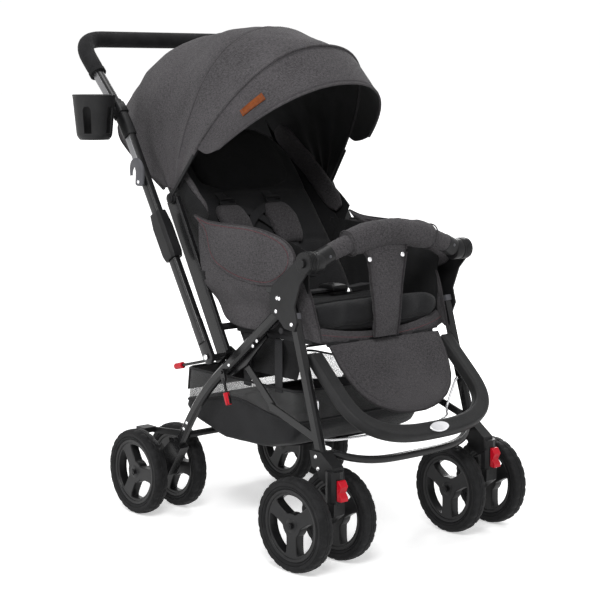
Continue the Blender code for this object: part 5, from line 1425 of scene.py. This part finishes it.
def side_panels():
    """Charcoal seat sides, their black linings, and the padded wings over them, stitched in dull red."""
    for sign, letter in SIDES:
        shape, path = padded_panel(PANEL_OUTLINE, sign * SIDE_X, sign, 0.0045, 0.0060, 11.0 + sign)
        shape = laid_beside(shape, sign, SIDE_OUT)
        panel = piece("seat_side_" + letter, shape, "charcoal", "seat_frame", 60.0)
        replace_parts(panel, "side_wing_" + letter)
        edge = [beside(point + Vector((sign * SIDE_X, 0, 0)), sign, SIDE_OUT) for point in path]
        piping("side_cord_" + letter, [*edge, edge[0]], 0.0019, "charcoal_dark", "seat_frame")
        shape, _ = padded_panel(LINING_OUTLINE, sign * LINING_X, -sign, 0.0030, 0.0030, 21.0 + sign)
        wrinkle(shape, 0.0022, 15.0, 30.0 + sign, (0.3, 2.4, 0.35))
        lining = piece("side_lining_" + letter, laid_beside(shape, sign, 0.0), "lining", "seat_frame", 60.0)
        shape, path = padded_panel(WING_OUTLINE, sign * WING_X, sign, 0.0035, 0.0130, 15.0 + sign)
        wing = piece("wing_" + letter, laid_beside(shape, sign, 0.0), "charcoal", "seat_frame", 60.0)
        edge = [beside(point + Vector((sign * (WING_X + 0.0035), 0, 0)), sign, 0.0) for point in path]
        piping("wing_cord_" + letter, [*edge, edge[0]], 0.0021, "charcoal_dark", "seat_frame")
        middle = sum(path, Vector()) / len(path)
        face = Vector((sign * (WING_X + 0.0088), 0, 0))
        line = [beside(middle + (point - middle) * 0.90 + face, sign, 0.0) for point in path]
        stitches("wing_stitches_" + letter, [*line, line[0]], "seat_frame", "red_thread")


def handle_path(start, step=0.006):
    """Middle line of the U from a distance up the right tube, with even steps."""
    pivot, bend, top = (Vector((-HANDLE_X, *point)) for point in (HANDLE_PIVOT, HANDLE_BEND, HANDLE_TOP))
    foot = pivot + (bend - pivot).normalized() * start
    line = rounded([foot, bend, top], 0.045, 10)
    corner = rounded([line[-2], top, Vector((HANDLE_X, top.y, top.z))], 0.058, 10)[1:-1]
    right = line[:-1] + corner
    return even(right + [Vector((-point.x, point.y, point.z)) for point in reversed(right)], step)


def handle_between(low, high, sign):
    """The part of one tube's middle line between two heights."""
    return [point for point in handle_path(0.030, 0.003) if low < point.z < high and point.x * sign > 0]


def end_plate(sign):
    """Round-ended plate at a foot of the handle, from its pivot up the tube."""
    pivot = Vector(HANDLE_PIVOT)
    direction = (Vector(HANDLE_BEND) - pivot).normalized()
    outline = []
    for centre, low in ((pivot, 90), (pivot + direction * 0.075, -90)):
        for step in range(13):
            turn = math.radians(low + 15 * step) + math.atan2(direction.y, direction.x)
            outline.append(tuple(centre + 0.0145 * Vector((math.cos(turn), math.sin(turn)))))
    return plate(outline, sign * (HANDLE_X - 0.004), sign * (HANDLE_X + 0.004), 0.0012)


def handle():
    """Flat tube with a bright outer side, end plates, foam grip with end rings, bend sleeves."""
    foot = 0.030
    bare, sleeved, grip_from = ((0.700, 0.770), (0.836, 0.905)), (0.770, 0.837), 0.899
    tube = skin(sweep(handle_path(foot), superellipse(0.0120, 0.0085, 3.6, 32), TUBE_NORMAL))
    tube = piece("handle_bar", joined(tube, end_plate(-1), end_plate(1)), "paint", "handle", 40.0)
    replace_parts(tube, "handle_tube")
    for sign, letter in SIDES:
        for index, (low, high) in enumerate(bare):
            face = [point + Vector((sign * 0.0084, 0, 0)) for point in handle_between(low, high, sign)]
            shape = skin(sweep(face, superellipse(0.0078, 0.0008, 4, 16), TUBE_NORMAL))
            piece(f"tube_face_{letter}_{index}", shape, "handle_paint", "handle", 50.0)

    path = [point for point in handle_path(foot) if point.z > grip_from]
    shape = skin(sweep(path, superellipse(0.0170, 0.0170, 2, 40), TUBE_NORMAL,
                       lambda share: 1 - 0.10 * abs(2 * share - 1) ** 60))
    foam = piece("handle_foam", shape, "foam", "handle", 50.0)
    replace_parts(foam, "handle_grip")
    for sign, letter in SIDES:
        ring = sweep(handle_between(0.893, 0.903, sign), superellipse(0.0176, 0.0176, 2, 40), TUBE_NORMAL)
        piece("grip_ring_" + letter, skin(ring), "foam", "handle", 40.0)
        sleeve = sweep(handle_between(*sleeved, sign), superellipse(0.0142, 0.0107, 3.6, 32), TUBE_NORMAL)
        piece("bend_sleeve_" + letter, skin(sleeve), "plastic", "handle", 40.0)
    cup()
    bag_hook()


def cup_wall(middle, foot_radius, mouth_radius, height):
    """Tapered wall with three round-ended slots, and its floor."""
    sides, levels, wall, foot_round = 144, 43, 0.0030, 0.0040
    slots, slot_half, slot_foot, slot_top, mean_radius = (215, 290, 130), 0.0075, 0.010, 0.064, 0.038
    shape = bmesh.new()
    points = []
    for i in range(levels + 1):
        share = i / levels
        radius = foot_radius + (mouth_radius - foot_radius) * share - wall
        radius -= foot_round * (1 - min(1.0, share * 9)) ** 2
        turns = [math.tau * j / sides for j in range(sides)]
        points.append([shape.verts.new(middle + Vector((radius * math.cos(turn), radius * math.sin(turn),
                                                        height * share))) for turn in turns])
    for i in range(levels):
        level = height * (i + 0.5) / levels
        for j in range(sides):
            turn = 360 * (j + 0.5) / sides
            nearest = min(abs((turn - slot + 180) % 360 - 180) for slot in slots)
            offset = math.radians(nearest) * mean_radius
            crown = slot_top - slot_half + math.sqrt(max(0.0, slot_half ** 2 - offset ** 2))
            if offset < slot_half and slot_foot < level < crown:
                continue
            corners = ((i, j), (i, j + 1), (i + 1, j + 1), (i + 1, j))
            shape.faces.new([points[a][b % sides] for a, b in corners])
    shape.faces.new(points[0])
    return thicken(shape, -wall)


def cup():
    """Slotted cup with a thick rim, on a clamp round the right tube."""
    low, high = cad_box("cup_holder")
    mouth_radius, height = 0.0430, 0.0855
    middle = Vector((low.x + mouth_radius, (low.y + high.y) / 2, high.z - height - 0.0010))
    holder = piece("cup_body", cup_wall(middle, 0.0350, mouth_radius, height), "stipple", "handle", 40.0)
    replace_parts(holder, "cup_holder")
    radius = mouth_radius - 0.0015
    rim = []
    for turn in [math.tau * j / 72 for j in range(74)]:
        rim.append(middle + Vector((radius * math.cos(turn), radius * math.sin(turn), 0.0850)))
    piping("cup_rim", rim, 0.0021, "stipple", "handle")
    along = (Vector((0, *HANDLE_TOP)) - Vector((0, *HANDLE_BEND))).normalized()
    centre = min(handle_between(0.80, 0.90, -1), key=lambda point: abs(point.z - (high.z - 0.032)))
    levels = [centre + along * distance for distance in (-0.013, -0.012, 0.012, 0.013)]
    clamp = skin(sweep(levels, superellipse(0.0165, 0.0128, 4, 32), TUBE_NORMAL, eased_ends(0.95)))
    arm = skin([[Vector((x, centre.y + a, centre.z + b)) for a, b in superellipse(0.0085, 0.0085, 4, 24)]
                for x in (middle.x + 0.036, centre.x - 0.010)])
    piece("cup_clamp", joined(clamp, arm), "plastic", "handle", 40.0)


def bag_hook():
    """Thick round-edged hook with a domed screw."""
    pivot = Vector(JOINTS["bag_hook_turn"]["pos_m"]) - ROOT
    line = ((0.0, -0.0085), (0.0, -0.002), (-0.0012, 0.012), (-0.0006, 0.024), (0.006, 0.0340),
            (0.0155, 0.0368), (0.0245, 0.0325), (0.0288, 0.022), (0.0292, 0.0125), (0.0292, 0.0110))
    path = curve([pivot + Vector((-0.0042, y, z)) for y, z in line], 5)
    last = len(path) - 1
    ends = {0: 0.6, 1: 0.85, 2: 0.97, last: 0.30, last - 1: 0.44, last - 2: 0.52}
    rings = []
    for i, ring in enumerate(sweep(path, superellipse(0.0042, 0.0122, 3, 32))):
        size = ends.get(i, 1.06 - 0.74 * smooth((i / len(path) - 0.30) / 0.6))
        rings.append([path[i] + (point - path[i]) * size for point in ring])
    hook = piece("hook_body", skin(rings), "grey", "bag_hook", 50.0)
    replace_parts(hook, "bag_hook")
    head = pivot + Vector((-0.0080, 0, 0))
    repeats("hook_screw", [head], dot(0.0042, 0.0018), "steel", "bag_hook", direction=(-1, 0, 0))


def hoop_point(along, length, t, sign):
    """Middle line of the footrest's U: t is -1 at the hinge, 0 where the bend starts, 1 at the front."""
    straight, half, power = 0.085, 0.170, 0.7
    reach = straight * (1 + t)
    across = 1.0
    if t >= 0:
        reach = straight + (length - straight) * math.sin(math.pi / 2 * t) ** power
    if t > 0:
        across = max(0.0, math.cos(math.pi / 2 * t)) ** power
    place = Vector(FOOTREST_AXIS) + along * reach
    return Vector((sign * half * across, place.x, place.y))


def footrest():
    """Moulded U with a dished, stippled top face, hinge bolts and a plain oval badge."""
    hinge, front = Vector(FOOTREST_AXIS), Vector(FOOTREST_FRONT)
    length = (front - hinge).length
    along = (front - hinge).normalized()
    places = [-1 + i / 8 for i in range(8)] + [(i / 30) ** 1.25 for i in range(30)]
    right = [hoop_point(along, length, t, -1) for t in places]
    path = right + [hoop_point(along, length, 1, 1)] + [Vector((-p.x, p.y, p.z)) for p in reversed(right)]
    normal = Vector((0, along.y, -along.x))
    section = []
    for a, b in superellipse(0.0120, 0.0162, 3.4, 40):
        dish = 0.0016 * max(0.0, 1 - (b / 0.0115) ** 2) if a > 0 else 0.0
        section.append((a - dish, b))
    hoop = piece("footrest_hoop", skin(sweep(path, section, normal)), "stipple", "front_legs", 50.0)
    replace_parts(hoop, "footrest")
    matrix = Matrix.Translation(Vector((0, *FOOTREST_AXIS)))
    for sign, letter in SIDES:
        bolt = lathe([(0.0070, sign * 0.1660), (0.0070, sign * 0.1885)], matrix, 24)
        piece("footrest_bolt_" + letter, bolt, "plastic", "front_legs")
    middle = Vector((0, *FOOTREST_FRONT)) + normal * 0.0118 + Vector((0, *along)) * 0.002
    tilt = normal.to_track_quat("Z", "Y").to_matrix().to_4x4()
    levels = ((0.99, -0.002), (1.0, 0.0010), (0.95, 0.0019), (0.90, 0.0016), (0.55, 0.0028), (0.08, 0.0034))
    badge = skin([[Vector((a, b, z)) for a, b in superellipse(0.0235 * size, 0.0105 * size, 2, 48)]
                  for size, z in levels])
    bmesh.ops.transform(badge, verts=badge.verts, matrix=Matrix.Translation(middle) @ tilt)
    piece("footrest_badge", badge, "badge", "front_legs", 50.0)


# Lowest line of the basket, (y, z) in the side plane
BASKET_LOW = ((-0.158, 0.222), (-0.120, 0.193), (-0.037, 0.175), (0.078, 0.173), (0.150, 0.191),
              (0.2185, 0.219))


def basket_low(y):
    """Height of the basket's sagging bottom."""
    for start, end in zip(BASKET_LOW, BASKET_LOW[1:]):
        if y <= end[0]:
            share = max(0.0, (y - start[0]) / (end[0] - start[0]))
            share = share * share * (3 - 2 * share) * 0.5 + share * 0.5
            return start[1] + (end[1] - start[1]) * share
    return BASKET_LOW[-1][1]


def basket_ring(half_width, front, rear, height, corner=0.022, steps=10, between=14):
    """Round-cornered ring of points; height(y) gives each its level."""
    ring = []
    corners = ((half_width - corner, rear - corner, 0), (-half_width + corner, rear - corner, 90),
               (-half_width + corner, front + corner, 180), (half_width - corner, front + corner, 270))
    for x, y, start in corners:
        turns = [math.radians(start + 90 * step / steps) for step in range(steps + 1)]
        arc = [Vector((x + corner * math.cos(turn), y + corner * math.sin(turn), 0)) for turn in turns]
        if ring:
            last = ring[-1]
            ring += [last.lerp(arc[0], k / between) for k in range(1, between)]
        ring += arc
    last = ring[-1]
    ring += [last.lerp(ring[0], k / between) for k in range(1, between)]
    for point in ring:
        point.z = height(point.y)
    return ring


def mesh_line(y):
    """Where the nylon tub ends and the mesh begins."""
    return 0.2440 + 0.020 * math.exp(-((y - 0.030) / 0.085) ** 2) - 0.010 * max(0.0, (y - 0.12) / 0.1)


def basket():
    """Nylon tub with sagging bottom, mesh walls above, bindings, rear panel and webbing hangers."""
    def ring(inset, height, lean):
        rear = BASKET_REAR - inset + 0.0225 * lean
        return basket_ring(BASKET_HALF - inset, BASKET_FRONT + inset, rear, height)

    rows = []
    for i in range(13):
        share = i / 12
        rows.append(ring(0.001 + 0.004 * share,
                         lambda y: mesh_line(y) + (basket_low(y) + 0.010 - mesh_line(y)) * share,
                         0.4 + 0.6 * share))
    for i in range(1, 25):
        share = i / 24
        inset = 0.005 + 0.135 * share ** 1.2
        rows.append(ring(inset, lambda y: basket_low(y) + 0.006 - 0.006 * min(1.0, 4 * share), 1.0))
    tub = cloth("basket_tub", rows, "nylon", "seat_frame", 0.0016, around=True,
                folds={"amount": 0.0022, "scale": 13.0, "seed": 3.0})
    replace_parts(tub, "basket")
    piece("basket_floor", basket_floor(), "nylon", "seat_frame", 60.0)
    rows = []
    for i in range(13):
        share = i / 12
        rows.append(ring(0.001, lambda y: mesh_line(y) + (BASKET_TOP - mesh_line(y)) * share,
                         0.4 * (1 - share)))
    cloth("basket_mesh", rows, "mesh", "seat_frame", 0.0008, around=True)
    for name, height, lean in (("top", lambda y: BASKET_TOP - 0.0010, 0.0), ("middle", mesh_line, 0.4)):
        line = ring(0.0005, height, lean)
        piping("basket_binding_" + name, [*line, line[0]], 0.0024, "nylon", "seat_frame")
    rows = []
    for i in range(9):
        share = i / 8
        y, z = BASKET_REAR + 0.0005 + 0.006 * (1 - share), 0.2560 + 0.0470 * share
        rows.append([Vector((0.1575 * (2 * j / 24 - 1), y, z)) for j in range(25)])
    cloth("basket_rear_panel", rows, "charcoal", "seat_frame", 0.0014)
    for sign, letter in SIDES:
        for index, y in enumerate((-0.100, -0.005)):
            x, width, foot, height = sign * (BASKET_HALF + 0.0005), 0.022, 0.295, 0.102
            rows = [[Vector((x, y + width * (j / 4 - 0.5), foot + height * i / 12)) for j in range(5)]
                    for i in range(13)]
            name = f"basket_hanger_{letter}_{index}"
            cloth(name, rows, "webbing", "seat_frame", 0.0018)
    skirt()


def basket_floor():
    """Stiff board in the basket's bottom."""
    middle, half = 0.022, 0.125
    outline = superellipse(half, half, 7, 64)
    return skin([[Vector((a, middle + b, z + 0.004 * (abs(b) / 0.12) ** 2)) for a, b in outline]
                 for z in (0.1790, 0.1810)])


def skirt():
    """Dark cloth that closes the sides between the seat board and the basket."""
    for sign, letter in SIDES:
        rows = []
        for i in range(13):
            share = i / 12
            x = sign * (0.1620 - 0.010 * math.sin(math.pi * share))
            rows.append([Vector((x, -0.150 + 0.170 * j / 24, 0.3980 - 0.073 * share)) for j in range(25)])
        cloth("seat_skirt_" + letter, rows, "lining", "seat_frame", 0.0012,
              folds={"amount": 0.0012, "scale": 16.0, "seed": 7.0 + sign, "stretch": (1, 1.2, 0.6)})


def camera():
    """The photo's view."""
    data = bpy.data.cameras.new("camera")
    data.sensor_width = CAMERA_SENSOR
    data.lens = CAMERA_LENS
    data.clip_start = 0.05
    obj = bpy.data.objects.new("camera", data)
    obj.location = Vector(CAMERA_PLACE) + ROOT
    level, up = math.cos(CAMERA_ELEVATION), math.sin(CAMERA_ELEVATION)
    back = Vector((math.sin(CAMERA_AZIMUTH) * level, -math.cos(CAMERA_AZIMUTH) * level, up))
    obj.rotation_euler = back.to_track_quat("Z", "Y").to_euler()
    bpy.context.collection.objects.link(obj)
    bpy.context.scene.camera = obj


def area_light(name, place, size, power, target=(0, 0, 0.5)):
    """Soft rectangular lamp turned to the stroller's middle."""
    data = bpy.data.lights.new(name, "AREA")
    data.shape = "RECTANGLE"
    data.size, data.size_y = size
    data.energy = power
    obj = bpy.data.objects.new(name, data)
    obj.location = place
    obj.rotation_euler = (Vector(place) - Vector(target)).to_track_quat("Z", "Y").to_euler()
    bpy.context.collection.objects.link(obj)


def seen_directly(tree):
    """1 for rays straight from the camera or by a mirror or glass, 0 for light that falls on things."""
    path = tree.nodes.new("ShaderNodeLightPath")
    total = path.outputs["Is Camera Ray"]
    for kind in ("Is Glossy Ray", "Is Transmission Ray"):
        both = tree.nodes.new("ShaderNodeMath")
        both.operation = "MAXIMUM"
        tree.links.new(total, both.inputs[0])
        tree.links.new(path.outputs[kind], both.inputs[1])
        total = both.outputs[0]
    return total


def studio():
    """White room: soft lights, a pale floor, and a white world behind everything."""
    for lamp in LAMPS:
        area_light(*lamp)
    world = bpy.data.worlds.new("world")
    world.use_nodes = True
    tree = world.node_tree
    background = tree.nodes["Background"]
    strength = tree.nodes.new("ShaderNodeMapRange")
    strength.inputs["To Min"].default_value = 0.32
    strength.inputs["To Max"].default_value = 1.02
    tree.links.new(seen_directly(tree), strength.inputs["Value"])
    tree.links.new(strength.outputs[0], background.inputs["Strength"])
    background.inputs["Color"].default_value = (1.0, 1.0, 1.0, 1.0)
    bpy.context.scene.world = world
    shape = bmesh.new()
    bmesh.ops.create_grid(shape, x_segments=1, y_segments=1, size=60.0)
    floor = Net("floor_white", Base_Color=(0.93, 0.93, 0.93), Roughness=0.9, Specular_IOR_Level=0.1)
    MATERIALS["floor"] = floor.material
    obj = piece("floor", shape, "floor", None, placed=True)
    floor_light(floor)
    bpy.context.scene.view_settings.view_transform = "Standard"


def floor_light(floor):
    """The floor looks white to the camera, more so far out, and keeps a faint shadow near the wheels."""
    place = floor.node("ShaderNodeTexCoord", output="Object")
    distance = floor.node("ShaderNodeVectorMath", {0: place}, output="Value", operation="LENGTH")
    glow = floor.mix(floor.remap(distance, 0.8, 2.6), (0.48, 0.48, 0.48), (1.0, 1.0, 1.0))
    seen = Wire(floor, seen_directly(floor.tree))
    floor.set(Emission_Color=floor.mix(seen, (0.0, 0.0, 0.0), glow), Emission_Strength=1.0)


camera()
wheels()
hard_frame()
levers()
front_end()
rear_rivets()
knuckles()
bumper()
seat()
leg_rest()
backrest()
side_panels()
canopy()
basket()
handle()
footrest()
studio()
